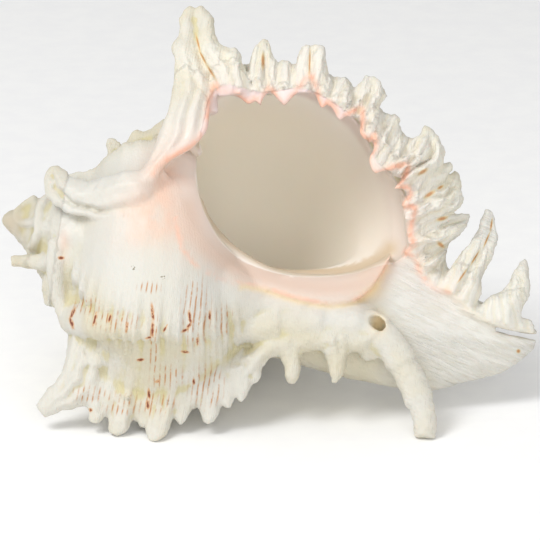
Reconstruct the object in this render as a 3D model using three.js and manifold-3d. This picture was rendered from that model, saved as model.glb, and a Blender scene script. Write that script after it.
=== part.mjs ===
// A ramose murex shell with its round pink-edged mouth towards the viewer, in millimetres.
// It stands on the worn tips of its spines and of its old canal, +Z up, with the origin at
// the bottom centre of its box.
//
// Everything is first placed as the viewer sees it: x to the right, y away from the viewer and
// z up the picture. The finished shell is then leaned back by VIEW_LEAN on to its spines.
// The coil is a logarithmic spiral: one section, carried round the axis and growing by
// WHORL_RATIO in each turn. A turn angle of 0 is at the top of the picture. It counts back
// from the lip towards the apex: 90 is behind, 180 below, 270 in front.
import * as THREE from "three";
import { mergeVertices } from "three/addons/utils/BufferGeometryUtils.js";
import Module from "manifold-3d";

const wasm = await Module();
wasm.setup();

// Driving dimensions
const APEX = new THREE.Vector3(-89, 0, 73);
const AXIS_TILT = THREE.MathUtils.degToRad(13.4); // the axis falls to the right by this
const VIEW_LEAN = THREE.MathUtils.degToRad(20);
const WHORL_RATIO = 1.85;
const LIP_TURN = -22;
const VARIX_TURNS = [-22, 100, 204, 330, 452, 572, 690];
const VARIX_SWELL = 0.1; // share of the radius that a varix adds
const VARIX_SPREAD = 10; // degrees
const RIB_TURNS = [45, 240, 392, 512, 630];
const RIB_SWELL = 0.09;
const RIB_SPREADS = { young: 7, old: 15 }; // steep on the side that grew last
const FLAT_TURN = 155; // between two varices the whorl is flatter, and clear of the floor
const FLAT_DEPTH = 0.12;
const FLAT_SPREAD = 25;
const LAST_TURN = 1120;
const FLOOR_LEVEL = 8.4; // the leaned height at which the spine tips are worn flat
const BOX_CENTRE = new THREE.Vector2(-0.3, 31.2); // the leaned box's middle, across and deep

// The whorl's outline at turn 0: [along the axis from the apex, out from the axis].
const WHORL_SECTION = [
  [33, 1.5],
  [33, 14],
  [39, 27],
  [48, 43.5],
  [57, 56],
  [67, 63],
  [80, 66.5],
  [93, 66],
  [104, 62],
  [114, 54.5],
  [123, 43.5],
  [131, 31],
  [140, 20],
  [140, 1.5],
];

// The mouth's inner outline at turn 0: [along the axis, out from the axis].
const MOUTH_SECTION = [
  [56, 37],
  [62, 22],
  [74, 11],
  [88, 5],
  [101, 4.5],
  [116, 9],
  [125.5, 16],
  [128, 24],
  [124, 36],
  [114.5, 47.5],
  [101, 57],
  [86, 61.5],
  [69, 59.5],
  [60, 51.5],
];
const MOUTH_END_TURN = 265;
const MOUTH_FRONT = -60; // how far towards the viewer the mouth is cut clear

// Cross-sections of horns and ridges: [across, towards the viewer], as shares of the half sizes.
const GROOVED = [
  [-1, 0],
  [-0.55, 0.95],
  [0, -0.1],
  [0.55, 0.95],
  [1, 0],
  [0.5, -0.9],
  [-0.5, -0.9],
];
const ROUNDED = [
  [-1, 0],
  [-0.55, 0.85],
  [0.55, 0.85],
  [1, 0],
  [0.5, -0.85],
  [-0.5, -0.85],
];

// The lip's pink margin, as the viewer sees it: [across, up, how far the frill reaches beyond].
const LIP_LINE = [
  [-36.5, 84, 4],
  [-32.5, 91.5, 6],
  [-25, 98.5, 9],
  [-19.5, 108.5, 9],
  [-12.5, 113, 9],
  [-2.5, 113.5, 10],
  [10, 113.5, 9],
  [21.5, 109.5, 8],
  [30.5, 103, 8],
  [37.5, 94, 9],
  [43.5, 86.5, 13],
  [46.5, 77.5, 14],
  [47.5, 67.5, 12],
  [50.5, 56.5, 9],
  [59, 47.5, 5],
  [70, 39, 4],
  [80.5, 35.5, 3],
  [87.5, 33.5, 2],
];
const LIP_STATIONS = 44;
const LIP_ZIGZAG = 3.2;
const FRILL_THICKNESS = 5;

// Spines of the lip. Each has its centre line, [across, up] from root to tip, with its width
// at the root and at the tip.
const LIP_SPINES = [
  { line: [[-29.5, 97], [-24.5, 108], [-23, 120], [-23, 132], [-24.3, 143]], width: [12, 20, 19, 15, 8] },
  { line: [[-14, 114], [-13, 128]], width: [13, 4.5] },
  { line: [[-1.5, 115], [-1.8, 132]], width: [13, 4] },
  { line: [[13.5, 116], [14, 129.5]], width: [10, 8.5] },
  { line: [[22, 111], [23.8, 118.5]], width: [7, 3] },
  { line: [[29, 106], [34, 118]], width: [11, 8] },
  { line: [[34.5, 99], [41, 106.5]], width: [8, 5.5] },
  { line: [[41, 92], [52.5, 101]], width: [15, 8] },
  { line: [[46, 84], [60, 90]], width: [9, 4] },
  { line: [[47.5, 78], [62.5, 85]], width: [10, 7] },
  { line: [[48, 72], [64.5, 76]], width: [8, 4] },
  { line: [[50, 66], [66, 73.5]], width: [10, 4] },
  { line: [[50, 59], [58.5, 60.5]], width: [11, 7] },
  { line: [[59, 47], [65.5, 56.5], [71.5, 65], [73, 76.5]], width: [16, 4] },
  { line: [[72, 39.5], [79, 44], [84.5, 51], [84.5, 60]], width: [15, 3.5] },
  { line: [[80, 37], [88, 36.5]], width: [8, 4.5] },
];

// The lower varix is a thick web that hangs from the whorl: the line of its edge, [across, up],
// and how far its inner side is above that.
const LOWER_WEB = [
  [-69, 19, 15],
  [-61, 13, 18],
  [-53, 9.5, 18],
  [-44, 7.5, 17],
  [-32, 8, 17],
  [-24.5, 11.5, 17],
  [-16, 12.5, 17],
  [-11, 15, 17],
  [-6, 20.5, 15],
  [-2, 26, 12],
  [6, 28.5, 11],
  [14, 30, 10],
  [27, 30, 9],
];
const LOWER_WEB_AWAY = -19;
// Its spines: root and tip [across, up], width at each, and how far from the viewer they end.
const LOWER_SPINES = [
  { line: [[-58.5, 23.5], [-68, 15.5], [-76, 10]], width: [17, 6], tip: -19 },
  { line: [[-57, 15], [-58, 4.5]], width: [8, 5], tip: -21 },
  { line: [[-50, 13], [-50.5, 1]], width: [10, 7], tip: -22 },
  { line: [[-43, 13], [-42, 4.5]], width: [6, 3], tip: -21 },
  { line: [[-36.5, 14], [-37.5, -1]], width: [11, 7], tip: -25.5 },
  { line: [[-29, 14], [-29, 5]], width: [7, 4], tip: -22 },
  { line: [[-22, 18], [-19.5, 5]], width: [9, 6], tip: -23 },
  { line: [[-17, 18], [-13.5, 10]], width: [7, 4.5], tip: -22 },
  { line: [[-13, 22], [-8, 13]], width: [8, 6], tip: -22 },
  { line: [[-9, 26], [-4, 19]], width: [6, 5], tip: -20 },
  { line: [[6, 34], [7.3, 18.5]], width: [10, 5], tip: -20 },
  { line: [[20, 34], [21.5, 18.5]], width: [10, 4.5], tip: -20 },
  { line: [[29, 34], [31, 26.5]], width: [10, 5], tip: -18 },
];

// Spines of the varix behind: [along the axis, length, lean along the axis, width], with the
// root found on the whorl. The long ones carry the shell.
const BACK_VARIX_TURN = 100;
const BACK_TIP_TURN = 107;
const BACK_SPINES = [
  [38, 26, -9, 10],
  [46, 16, -3, 7],
  [54, 25.5, 0, 9],
  [62, 15, 0, 6],
  [70, 27, 2, 9],
  [79, 18, 3, 7],
  [88, 27, 6, 8],
  [97, 20, 9, 8],
  [106, 24, 13, 7],
];

// Knobs and ridges on the spire and shoulder, as the viewer sees them: each has its centre
// line [across, away, up] and its widths.
const SHOULDER_RIDGES = [
  {
    line: [[-32, -20, 81], [-45, -21, 78.5], [-57, -19, 79], [-66, -14, 83.5], [-72.5, -11, 90.5]],
    width: [11, 13, 13, 11, 6],
  },
  { line: [[-26, -10, 101], [-37, -8, 95], [-49, -6, 88.5], [-60, -4, 82]], width: [16, 15, 13, 6] },
  { line: [[-48, -6, 89], [-54, -6, 99.5]], width: [9, 4] },
  { line: [[-40, -7, 93], [-44.5, -7, 103]], width: [12, 5] },
  { line: [[-70, -12, 58.5], [-78, -13, 58.5], [-85.5, -13, 59]], width: [9, 6.5, 5] },
  { line: [[-62, -10, 48], [-69, -10, 44]], width: [12, 5] },
  { line: [[-76, 0, 70], [-82, 0, 71.5], [-89.5, 0, 73]], width: [14, 9, 2.5] },
];

// The glaze that fills the dip between the whorl's front and the plate, in the same terms.
const CALLUS = { line: [[-36, -22, 50], [-18, -19, 48], [0, -16, 44]], width: [34, 27, 14] };

// The old canal and the ridge that carries it: [across, away, up, width].
const OLD_CANAL = [
  [-34, -12, 38, 8],
  [-6, -17, 38, 12],
  [8, -18, 38, 14],
  [22, -18, 38.5, 13],
  [34, -18, 36.5, 11],
  [40, -18.5, 31, 10],
  [45.5, -19.5, 22.5, 10],
  [49.5, -21, 14, 10.5],
  [52, -22.5, 6.5, 10],
  [50, -24, 0, 5],
];
const OLD_CANAL_HOLE = { from: [34.5, -30, 39.5], to: [38, -17, 34.5], width: 6 };

// The living canal: [along the axis, lower edge, upper edge, half depth, away].
const CANAL = [
  [96, -24, 22, 19, -3],
  [114, -25, 22, 16, -2],
  [132, -25, 21, 12, -2],
  [150, -23.5, 13, 8.5, -1],
  [163, -17.5, 9.5, 6.5, 0],
  [173, -12, 7, 5, 1],
  [179, -6.5, 6, 4, 1.5],
  [182.5, -2, 4, 2.5, 2],
];
// The slit along the canal: [across, up] and its width.
const SLIT = [
  [50, 60, 3],
  [57, 51.5, 3],
  [67, 41.5, 2.5],
  [77, 36.2, 2.2],
  [92, 33, 2.6],
];
const SLIT_FLOOR = 0; // how far away from the viewer the slit's floor is
const SLIT_TIP_FLOOR = 12; // at the tip it goes right through

// The pink plate over the columella: inner and outer edge, [across, up].
const PLATE_INNER = [
  [-23, 79],
  [-20, 72],
  [-13, 64],
  [0, 56.5],
  [12, 54],
  [26, 54.5],
  [36, 58],
  [40, 61.5],
];
const PLATE_OUTER = [
  [-31, 72],
  [-27, 60.5],
  [-17, 53.5],
  [-3, 50.5],
  [10, 46.5],
  [22, 45],
  [32, 48.5],
  [39.5, 59.5],
];
const PLATE_AWAY = -24;
const PLATE_THICKNESS = 5;

// Joins rings of equal point counts into one closed tube, with a fan at each end.
function loft(rings) {
  const count = rings[0].length;
  const points = rings.flat();
  const faces = [];
  for (let i = 0; i < rings.length - 1; i++)
    for (let j = 0; j < count; j++) {
      const a = i * count + j;
      const b = i * count + ((j + 1) % count);
      faces.push(a, b, b + count, a, b + count, a + count);
    }
  const last = (rings.length - 1) * count;
  for (const [start, turned] of [[0, true], [last, false]]) {
    const centre = new THREE.Vector3();
    for (let j = 0; j < count; j++) centre.add(points[start + j]);
    points.push(centre.divideScalar(count));
    for (let j = 0; j < count; j++) {
      const pair = [start + j, start + ((j + 1) % count)];
      if (turned) pair.reverse();
      faces.push(...pair, points.length - 1);
    }
  }
  const geometry = new THREE.BufferGeometry().setFromPoints(points);
  geometry.setIndex(faces);
  return geometry;
}

// A manifold solid of a closed geometry, turned the right way out if its rings ran backwards.
function solid(geometry) {
  geometry.deleteAttribute("normal");
  geometry.deleteAttribute("uv");
  const merged = mergeVertices(geometry, 1e-4);
  const triVerts = new Uint32Array(merged.index.array);
  const vertProperties = merged.attributes.position.array;
  const made = new wasm.Manifold(new wasm.Mesh({ numProp: 3, vertProperties, triVerts }));
  if (made.volume() > 0) return made;
  for (let i = 0; i < triVerts.length; i += 3)
    [triVerts[i + 1], triVerts[i + 2]] = [triVerts[i + 2], triVerts[i + 1]];
  return new wasm.Manifold(new wasm.Mesh({ numProp: 3, vertProperties, triVerts }));
}

// A point of the coil: z along the axis from the apex, r out from it, at a turn in degrees.
function coilPoint(z, r, turn) {
  const angle = THREE.MathUtils.degToRad(turn);
  const up = r * Math.cos(angle);
  return new THREE.Vector3(
    APEX.x + z * Math.cos(AXIS_TILT) + up * Math.sin(AXIS_TILT),
    r * Math.sin(angle),
    APEX.z - z * Math.sin(AXIS_TILT) + up * Math.cos(AXIS_TILT),
  );
}

// The size of the whorl at a turn, as a share of its size at turn 0.
const growth = (turn) => WHORL_RATIO ** (-turn / 360);

// How far a point of the picture is above the axis.
const aboveAxis = (x, z) => (x - APEX.x) * Math.sin(AXIS_TILT) + (z - APEX.z) * Math.cos(AXIS_TILT);

const hump = (distance, spread) => Math.exp(-((distance / spread) ** 2));

// How much narrower the whorl is between the two varices that it rests near.
const flatness = (turn) => 1 - FLAT_DEPTH * hump(turn - FLAT_TURN, FLAT_SPREAD);

// The radius factor that varices and ribs give the whorl at a turn.
function swell(turn) {
  let factor = flatness(turn);
  for (const v of VARIX_TURNS) factor += VARIX_SWELL * hump(turn - v, VARIX_SPREAD);
  for (const r of RIB_TURNS) {
    const spread = turn > r ? RIB_SPREADS.old : RIB_SPREADS.young;
    factor += RIB_SWELL * hump(turn - r, spread);
  }
  return factor;
}

// A stretch of the coil between two turns, filled in to the axis.
function whorl(from, to, step, share) {
  const count = Math.round((to - from) / step);
  const rings = [];
  for (let i = 0; i <= count; i++) {
    const turn = from + ((to - from) * i) / count;
    const size = growth(turn) * share;
    rings.push(
      WHORL_SECTION.map(([z, r]) => {
        const swollen = r > 2 ? r * swell(turn) : r;
        return coilPoint(z * growth(turn), swollen * size, turn);
      }),
    );
  }
  return solid(loft(rings));
}

// The hollow: cut straight in from the viewer, then round the axis with the whorl.
function mouth() {
  const middle = [92, 34];
  const shaped = (turn, share) =>
    MOUTH_SECTION.map(([z, r]) => {
      const size = growth(turn);
      return coilPoint(
        (middle[0] + (z - middle[0]) * share) * size,
        (middle[1] + (r - middle[1]) * share) * size * flatness(turn),
        turn,
      );
    });
  const front = shaped(0, 1.06).map((p) => p.setY(MOUTH_FRONT));
  const rings = [front, shaped(0, 1)];
  for (let turn = 14; turn <= MOUTH_END_TURN; turn += 14)
    rings.push(shaped(turn, 1 - 0.08 * Math.min(1, turn / 36)));
  return solid(loft(rings));
}

// A horn or ridge: a flattened tube along a curve, with its face towards a direction.
function horn({ line, widths, depths, section, facing, steps }) {
  const curve = new THREE.CatmullRomCurve3(line, false, "centripetal");
  const blend = (values, t) => {
    const at = t * (values.length - 1);
    const i = Math.min(Math.floor(at), values.length - 2);
    return THREE.MathUtils.lerp(values[i], values[i + 1], at - i);
  };
  const rings = [];
  for (let k = 0; k <= steps; k++) {
    const t = k / steps;
    const centre = curve.getPoint(t);
    const along = curve.getTangent(t);
    const across = new THREE.Vector3().crossVectors(along, facing).normalize();
    const face = new THREE.Vector3().crossVectors(across, along).normalize();
    rings.push(
      section.map(([a, f]) =>
        centre
          .clone()
          .addScaledVector(across, (a * blend(widths, t)) / 2)
          .addScaledVector(face, (f * blend(depths, t)) / 2),
      ),
    );
  }
  return solid(loft(rings));
}

const VIEWER = new THREE.Vector3(0, -1, 0);

// How far away the lip's margin is at a point of the picture.
const lipAway = (x, z) => Math.tan(THREE.MathUtils.degToRad(LIP_TURN)) * Math.max(aboveAxis(x, z), 4);

function lipSpine({ line, width }) {
  const [rootX, rootZ] = line[0];
  const [tipX, tipZ] = line.at(-1);
  const reach = Math.hypot(tipX - rootX, tipZ - rootZ);
  const rootAway = lipAway(rootX, rootZ) + 4;
  const points = line.map(([x, z], i) => {
    const share = i / (line.length - 1);
    return new THREE.Vector3(x, rootAway + reach * 0.22 * share, z);
  });
  return horn({
    line: points,
    widths: width.length > 2 ? width : [width[0], width[0] * 0.35 + width[1] * 0.65, width[1]],
    depths: [6, 4.5, 2.5],
    section: GROOVED,
    facing: VIEWER,
    steps: line.length > 2 ? 5 : 2,
  });
}

// The frilled band between the lip's margin and its spines, zigzag at its inner edge: the
// margin runs out into each spine's groove and comes back in between two spines.
function lipFrill() {
  const margin = new THREE.CatmullRomCurve3(LIP_LINE.map(([x, z]) => new THREE.Vector3(x, 0, z)));
  const reaches = new THREE.CatmullRomCurve3(LIP_LINE.map(([, , reach]) => new THREE.Vector3(reach, 0, 0)));
  const samples = margin.getPoints(LIP_STATIONS * 4);
  const roots = LIP_SPINES.map(({ line }) => {
    const root = new THREE.Vector3(line[0][0], 0, line[0][1]);
    const gaps = samples.map((p) => p.distanceTo(root));
    return gaps.indexOf(Math.min(...gaps)) / (samples.length - 1);
  });
  const stops = [0, ...roots, 1];
  const zigzag = (t) => {
    const i = stops.findIndex((_, n) => t <= stops[n + 1]);
    const share = (t - stops[i]) / Math.max(stops[i + 1] - stops[i], 1e-6);
    return LIP_ZIGZAG * Math.cos(2 * Math.PI * share);
  };
  const rings = [];
  for (let k = 0; k <= LIP_STATIONS; k++) {
    const t = k / LIP_STATIONS;
    const centre = margin.getPoint(t);
    const along = margin.getTangent(t);
    const out = new THREE.Vector3(-along.z, 0, along.x);
    const reach = reaches.getPoint(t).x;
    const away = lipAway(centre.x, centre.z);
    const fade = Math.min(1, 8 * t, 4 * (1 - t));
    const at = (outward, deeper) => centre.clone().addScaledVector(out, outward).setY(away + deeper);
    const edge = zigzag(t) * fade;
    rings.push([
      at(edge - 0.8, -1),
      at(edge + 1.2, -1.2),
      at(reach, 1 + 0.25 * reach),
      at(reach - 1, 1 + 0.25 * reach + FRILL_THICKNESS),
      at(1, 9),
      at(-0.5, 6),
    ]);
  }
  return solid(loft(rings));
}

// The web that joins the lower spines, thick where it leaves the whorl and thin at its edge.
function lowerWeb() {
  const away = LOWER_WEB_AWAY;
  const rings = LOWER_WEB.map(([x, z, inner]) => [
    new THREE.Vector3(x, away - 3.5, z),
    new THREE.Vector3(x + 0.2 * inner, away - 4, z + 0.5 * inner),
    new THREE.Vector3(x + 0.4 * inner, away, z + inner),
    new THREE.Vector3(x + 0.4 * inner, away + 14, z + inner),
    new THREE.Vector3(x + 0.2 * inner, away + 9, z + 0.4 * inner),
    new THREE.Vector3(x, away + 1.5, z),
  ]);
  return solid(loft(rings));
}

function lowerSpine({ line, width, tip }) {
  const points = line.map(
    ([x, z], i) => new THREE.Vector3(x, THREE.MathUtils.lerp(LOWER_WEB_AWAY, tip, i / (line.length - 1)), z),
  );
  return horn({
    line: points,
    widths: [width[0] * 1.25, width[0] * 0.85, width[1]],
    depths: [11, 6.5, 3.5],
    section: ROUNDED,
    facing: VIEWER,
    steps: 2,
  });
}

// The whorl's radius at a place along the axis, at a turn.
function whorlRadius(z, turn) {
  const at = z / growth(turn);
  const i = WHORL_SECTION.findIndex(([s], n) => n > 1 && s >= at);
  const [z0, r0] = WHORL_SECTION[i - 1];
  const [z1, r1] = WHORL_SECTION[i];
  return THREE.MathUtils.lerp(r0, r1, (at - z0) / (z1 - z0)) * growth(turn) * swell(turn);
}

function backSpine([z, length, lean, width]) {
  const radius = whorlRadius(z, BACK_VARIX_TURN);
  const root = coilPoint(z, radius - 4, BACK_VARIX_TURN);
  const middle = coilPoint(z + lean * 0.4, radius + length * 0.45, BACK_VARIX_TURN + 1);
  const tip = coilPoint(z + lean, radius + length, BACK_TIP_TURN);
  const ahead = coilPoint(z, radius, BACK_VARIX_TURN - 10);
  return horn({
    line: [root, middle, tip],
    widths: [width * 1.3, width * 0.8, width * 0.4],
    depths: [9, 5.5, 3],
    section: GROOVED,
    facing: ahead.sub(coilPoint(z, radius, BACK_VARIX_TURN)).normalize(),
    steps: 4,
  });
}

// A low fin that runs along a varix and joins the roots of its spines.
function varixFin(turn, fromZ, toZ, height, thickness) {
  const rings = [];
  const steps = 10;
  for (let k = 0; k <= steps; k++) {
    const z = THREE.MathUtils.lerp(fromZ, toZ, k / steps);
    const radius = whorlRadius(z, turn);
    const half = THREE.MathUtils.radToDeg(thickness / radius);
    const top = height * Math.sin(Math.PI * (0.12 + (0.76 * k) / steps));
    rings.push([
      coilPoint(z, radius - 5, turn - half * 1.3),
      coilPoint(z, radius + top, turn - half * 0.35),
      coilPoint(z, radius + top, turn + half * 0.35),
      coilPoint(z, radius - 5, turn + half * 1.6),
    ]);
  }
  return solid(loft(rings));
}

function shoulderRidge({ line, width }) {
  return horn({
    line: line.map(([x, y, z]) => new THREE.Vector3(x, y, z)),
    widths: width,
    depths: width.map((w) => w * 0.9),
    section: ROUNDED,
    facing: VIEWER,
    steps: line.length > 2 ? 6 : 3,
  });
}

function oldCanal() {
  const widths = OLD_CANAL.map(([, , , w]) => w);
  const ridge = horn({
    line: OLD_CANAL.map(([x, y, z]) => new THREE.Vector3(x, y, z)),
    widths,
    depths: widths.map((w) => w * 0.95),
    section: ROUNDED,
    facing: VIEWER,
    steps: 11,
  });
  const { from, to, width } = OLD_CANAL_HOLE;
  const hole = horn({
    line: [new THREE.Vector3(...from), new THREE.Vector3(...to)],
    widths: [width, width * 0.7],
    depths: [width * 1.6, width],
    section: ROUNDED,
    facing: new THREE.Vector3(0, 0, 1),
    steps: 1,
  });
  return { ridge, hole };
}

function canal() {
  const rings = CANAL.map(([z, low, high, half, away]) => {
    const middle = (low + high) / 2;
    const reach = (high - low) / 2;
    const ring = [];
    for (let k = 0; k < 10; k++) {
      const angle = (2 * Math.PI * k) / 10;
      const point = coilPoint(z, middle + reach * Math.cos(angle), 0);
      ring.push(point.setY(away + half * Math.sin(angle)));
    }
    return ring;
  });
  return solid(loft(rings));
}

function slit() {
  const rings = SLIT.map(([x, z, width], i) => {
    const floor = i < SLIT.length - 2 ? SLIT_FLOOR : SLIT_TIP_FLOOR;
    const half = width / 2;
    return [
      new THREE.Vector3(x, -40, z - half),
      new THREE.Vector3(x, -40, z + half),
      new THREE.Vector3(x, floor, z + half),
      new THREE.Vector3(x, floor, z - half),
    ];
  });
  return solid(loft(rings));
}

function plate() {
  const rings = PLATE_INNER.map(([x0, z0], i) => {
    const [x1, z1] = PLATE_OUTER[i];
    const ends = Math.sin(Math.PI * (0.1 + (0.8 * i) / (PLATE_INNER.length - 1)));
    const front = PLATE_AWAY * (0.55 + 0.45 * ends);
    return [
      new THREE.Vector3(x0, front + 6, z0),
      new THREE.Vector3((x0 + x1) / 2, front + 0.5, (z0 + z1) / 2),
      new THREE.Vector3(x1, front, z1),
      new THREE.Vector3(x1, front + 2, z1),
      new THREE.Vector3((x0 + x1) / 2, front + 2 * PLATE_THICKNESS, (z0 + z1) / 2),
      new THREE.Vector3(x0, front + 4 * PLATE_THICKNESS, z0),
    ];
  });
  return solid(loft(rings));
}

// The floor's block, leaned as the viewer sees it, that wears the lowest tips flat.
function floorBlock() {
  const block = new THREE.BoxGeometry(300, 300, 40);
  block.translate(0, 0, FLOOR_LEVEL - 20);
  block.rotateX(VIEW_LEAN);
  return solid(block);
}

function buildShell() {
  const { ridge, hole } = oldCanal();
  let shell = whorl(LIP_TURN, 338, 12, 1);
  for (const part of [
    whorl(333, 693, 22.5, 0.99),
    whorl(689, LAST_TURN, 43, 0.98),
    canal(),
    shoulderRidge(CALLUS),
  ])
    shell = shell.add(part);
  shell = shell.subtract(mouth());
  for (const part of [
    lipFrill(),
    lowerWeb(),
    varixFin(BACK_VARIX_TURN, 36, 108, 7, 3.5),
    plate(),
    ridge,
    ...LIP_SPINES.map(lipSpine),
    ...LOWER_SPINES.map(lowerSpine),
    ...BACK_SPINES.map(backSpine),
    ...SHOULDER_RIDGES.map(shoulderRidge),
  ])
    shell = shell.add(part);
  shell = shell.subtract(slit()).subtract(hole).subtract(floorBlock());
  const bodies = shell.decompose().sort((a, b) => b.volume() - a.volume());
  return bodies[0];
}

// The shell as a three.js mesh, leaned back on to its spines.
function shellMesh() {
  const { vertProperties, triVerts } = buildShell().getMesh();
  const geometry = new THREE.BufferGeometry();
  geometry.setAttribute("position", new THREE.BufferAttribute(vertProperties, 3));
  geometry.setIndex(new THREE.BufferAttribute(triVerts, 1));
  geometry.computeVertexNormals();
  const material = new THREE.MeshStandardMaterial({ color: "#ece7db", roughness: 0.55, metalness: 0 });
  const mesh = new THREE.Mesh(geometry, material);
  mesh.name = "shell";
  mesh.rotation.x = -VIEW_LEAN;
  mesh.position.set(-BOX_CENTRE.x, -BOX_CENTRE.y, -FLOOR_LEVEL);
  return mesh;
}

const murex = new THREE.Group();
murex.add(shellMesh());
export default murex;
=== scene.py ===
# %% [markdown]
# # A murex shell
#
# A murex is a sea snail, and its shell is one piece that the animal built at the edge of its
# mouth, a little more each year. Three times in each turn it stopped and made a thick frilled
# edge with spines, called a varix. The last one is the lip around the round pink-edged mouth.
#
# This file builds the shell's fine surface over a plain solid one. Lengths are millimetres as
# the viewer sees them, across, away and up, until the very last step, which leans the shell
# back on to its spines and turns millimetres into metres.

import math

import bpy
import numpy as np
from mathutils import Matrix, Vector


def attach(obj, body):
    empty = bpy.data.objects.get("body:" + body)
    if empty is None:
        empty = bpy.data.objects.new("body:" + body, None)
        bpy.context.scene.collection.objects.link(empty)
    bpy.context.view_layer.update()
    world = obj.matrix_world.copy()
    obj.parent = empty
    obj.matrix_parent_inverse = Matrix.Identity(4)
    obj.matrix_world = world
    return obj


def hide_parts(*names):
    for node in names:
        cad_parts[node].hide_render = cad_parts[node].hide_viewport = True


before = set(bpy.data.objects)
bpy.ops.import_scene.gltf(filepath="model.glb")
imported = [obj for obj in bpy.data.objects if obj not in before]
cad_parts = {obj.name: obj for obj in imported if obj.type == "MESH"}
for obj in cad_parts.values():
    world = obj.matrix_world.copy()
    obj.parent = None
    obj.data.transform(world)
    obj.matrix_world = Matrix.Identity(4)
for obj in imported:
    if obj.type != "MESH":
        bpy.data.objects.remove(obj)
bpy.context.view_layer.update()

# %% [markdown]
# ## Where things are
#
# Everything follows one coil. A snail's shell is a logarithmic spiral: the same outline is
# carried round an axis, and it shrinks by the same factor in every turn back from the lip. So
# a place on the shell is given by how far it lies along the axis, how far out from it, and at
# which turn. Turn 0 is at the top, and the turns count back towards the apex: 90 is behind,
# 180 below and 270 in front.

# %% The coil and the two frames
APEX = np.array([-89.0, 0.0, 73.0])
AXIS_TILT = math.radians(13.4)  # the axis falls to the right
VIEW_LEAN = math.radians(20)
FLOOR_LEVEL = 8.4  # the leaned height of the floor
BOX_CENTRE = (-0.3, 31.2)  # the leaned shell's middle, across and deep
WHORL_RATIO = 1.85
LIP_TURN = -22
PHOTO_CENTRE, PHOTO_FLOOR, PIXELS_PER_MM = 270, 437, 3


def seen(*pixels):
    """Photo pixels to millimetres across and up: the distance from the middle column and from
    the floor row, divided by the scale."""
    p = np.array(pixels, float)
    return np.stack([p[:, 0] - PHOTO_CENTRE, PHOTO_FLOOR - p[:, 1]], -1) / PIXELS_PER_MM


def stand(points):
    """Turns points by VIEW_LEAN about the across axis, moves them over the origin and makes
    millimetres metres."""
    x, away, up = points.T
    y = away * math.cos(VIEW_LEAN) + up * math.sin(VIEW_LEAN) - BOX_CENTRE[1]
    z = up * math.cos(VIEW_LEAN) - away * math.sin(VIEW_LEAN) - FLOOR_LEVEL
    return np.stack([x - BOX_CENTRE[0], y, z], -1) / 1000


def growth(turn):
    """The whorl's size at a turn: the ratio to the power of minus the number of turns."""
    return WHORL_RATIO ** (-np.asarray(turn, float) / 360)


def coil_point(z, r, turn):
    """The point z along the axis and r out from it, where the turn is an angle round the axis
    in degrees: rise is r times its cosine and depth is r times its sine."""
    z, r, turn = np.broadcast_arrays(z, r, turn)
    rise = r * np.cos(np.radians(turn))
    x = APEX[0] + z * math.cos(AXIS_TILT) + rise * math.sin(AXIS_TILT)
    up = APEX[2] - z * math.sin(AXIS_TILT) + rise * math.cos(AXIS_TILT)
    return np.stack([x, r * np.sin(np.radians(turn)), up], -1)


def coil_place(points):
    """The inverse of coil_point: along the axis, out from it, and the angle from 0 to 360."""
    dx, away, dz = points[..., 0] - APEX[0], points[..., 1], points[..., 2] - APEX[2]
    z = dx * math.cos(AXIS_TILT) - dz * math.sin(AXIS_TILT)
    rise = dx * math.sin(AXIS_TILT) + dz * math.cos(AXIS_TILT)
    return z, np.hypot(rise, away), np.degrees(np.arctan2(away, rise)) % 360


print("apex:", coil_point(0, 0, 0), " size one turn back:", round(float(growth(360)), 3))

# %% [markdown]
# ## Curves, tubes and skins
#
# A shell has no flat faces and no seams, so each part is a closed tube: rings of points along a
# path. The tubes overlap, and Blender's voxel Remesh then draws one skin round all of them, the
# way a sculptor joins lumps of clay. That is much simpler than joining the edges by hand.

# %% Curves
def smooth_path(points, count, closed=False):
    """A Catmull-Rom curve: between two points it is the cubic that leaves and arrives with the
    slope of the line through the neighbours. count places, evenly spaced in the parameter."""
    p = np.asarray(points, float)
    n = len(p)
    t = np.arange(count) * n / count if closed else np.linspace(0, n - 1, count)
    i = np.floor(t).astype(int) if closed else np.minimum(t.astype(int), n - 2)
    f = (t - i).reshape(-1, *[1] * (p.ndim - 1))
    step = (lambda k: p[(i + k) % n]) if closed else (lambda k: p[np.clip(i + k, 0, n - 1)])
    before, a, b, after = step(-1), step(0), step(1), step(2)
    cubic = 3 * a - before - 3 * b + after
    return 0.5 * (2 * a + (b - before) * f + (2 * before - 5 * a + 4 * b - after) * f**2 + cubic * f**3)


def even_path(points, count, closed=False):
    """The same curve with its places moved so that each step has the same length."""
    fine = smooth_path(points, count * 8, closed)
    if closed:
        fine = np.vstack([fine, fine[:1]])
    length = np.r_[0, np.cumsum(np.linalg.norm(np.diff(fine, axis=0), axis=1))]
    wanted = np.linspace(0, length[-1], count + 1)[:-1] if closed else np.linspace(0, length[-1], count)
    return np.stack([np.interp(wanted, length, column) for column in fine.T], -1)


def hump(distance, spread):
    """A bell: e to the power of minus the square of distance over spread."""
    return np.exp(-((distance / spread) ** 2))


def ease(value, low, high):
    """0 below low, 1 above high, and the smooth cubic step 3t^2 - 2t^3 in between."""
    t = np.clip((value - low) / (high - low), 0, 1)
    return t * t * (3 - 2 * t)


def wander(value, seed, rate=1.0):
    """An uneven wave from -1 to 1: three sines whose rates have no common measure."""
    a = np.sin(rate * value + seed * 1.7) + np.sin(2.31 * rate * value + seed * 3.1)
    return (a + np.sin(5.13 * rate * value + seed * 5.3)) / 3


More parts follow.
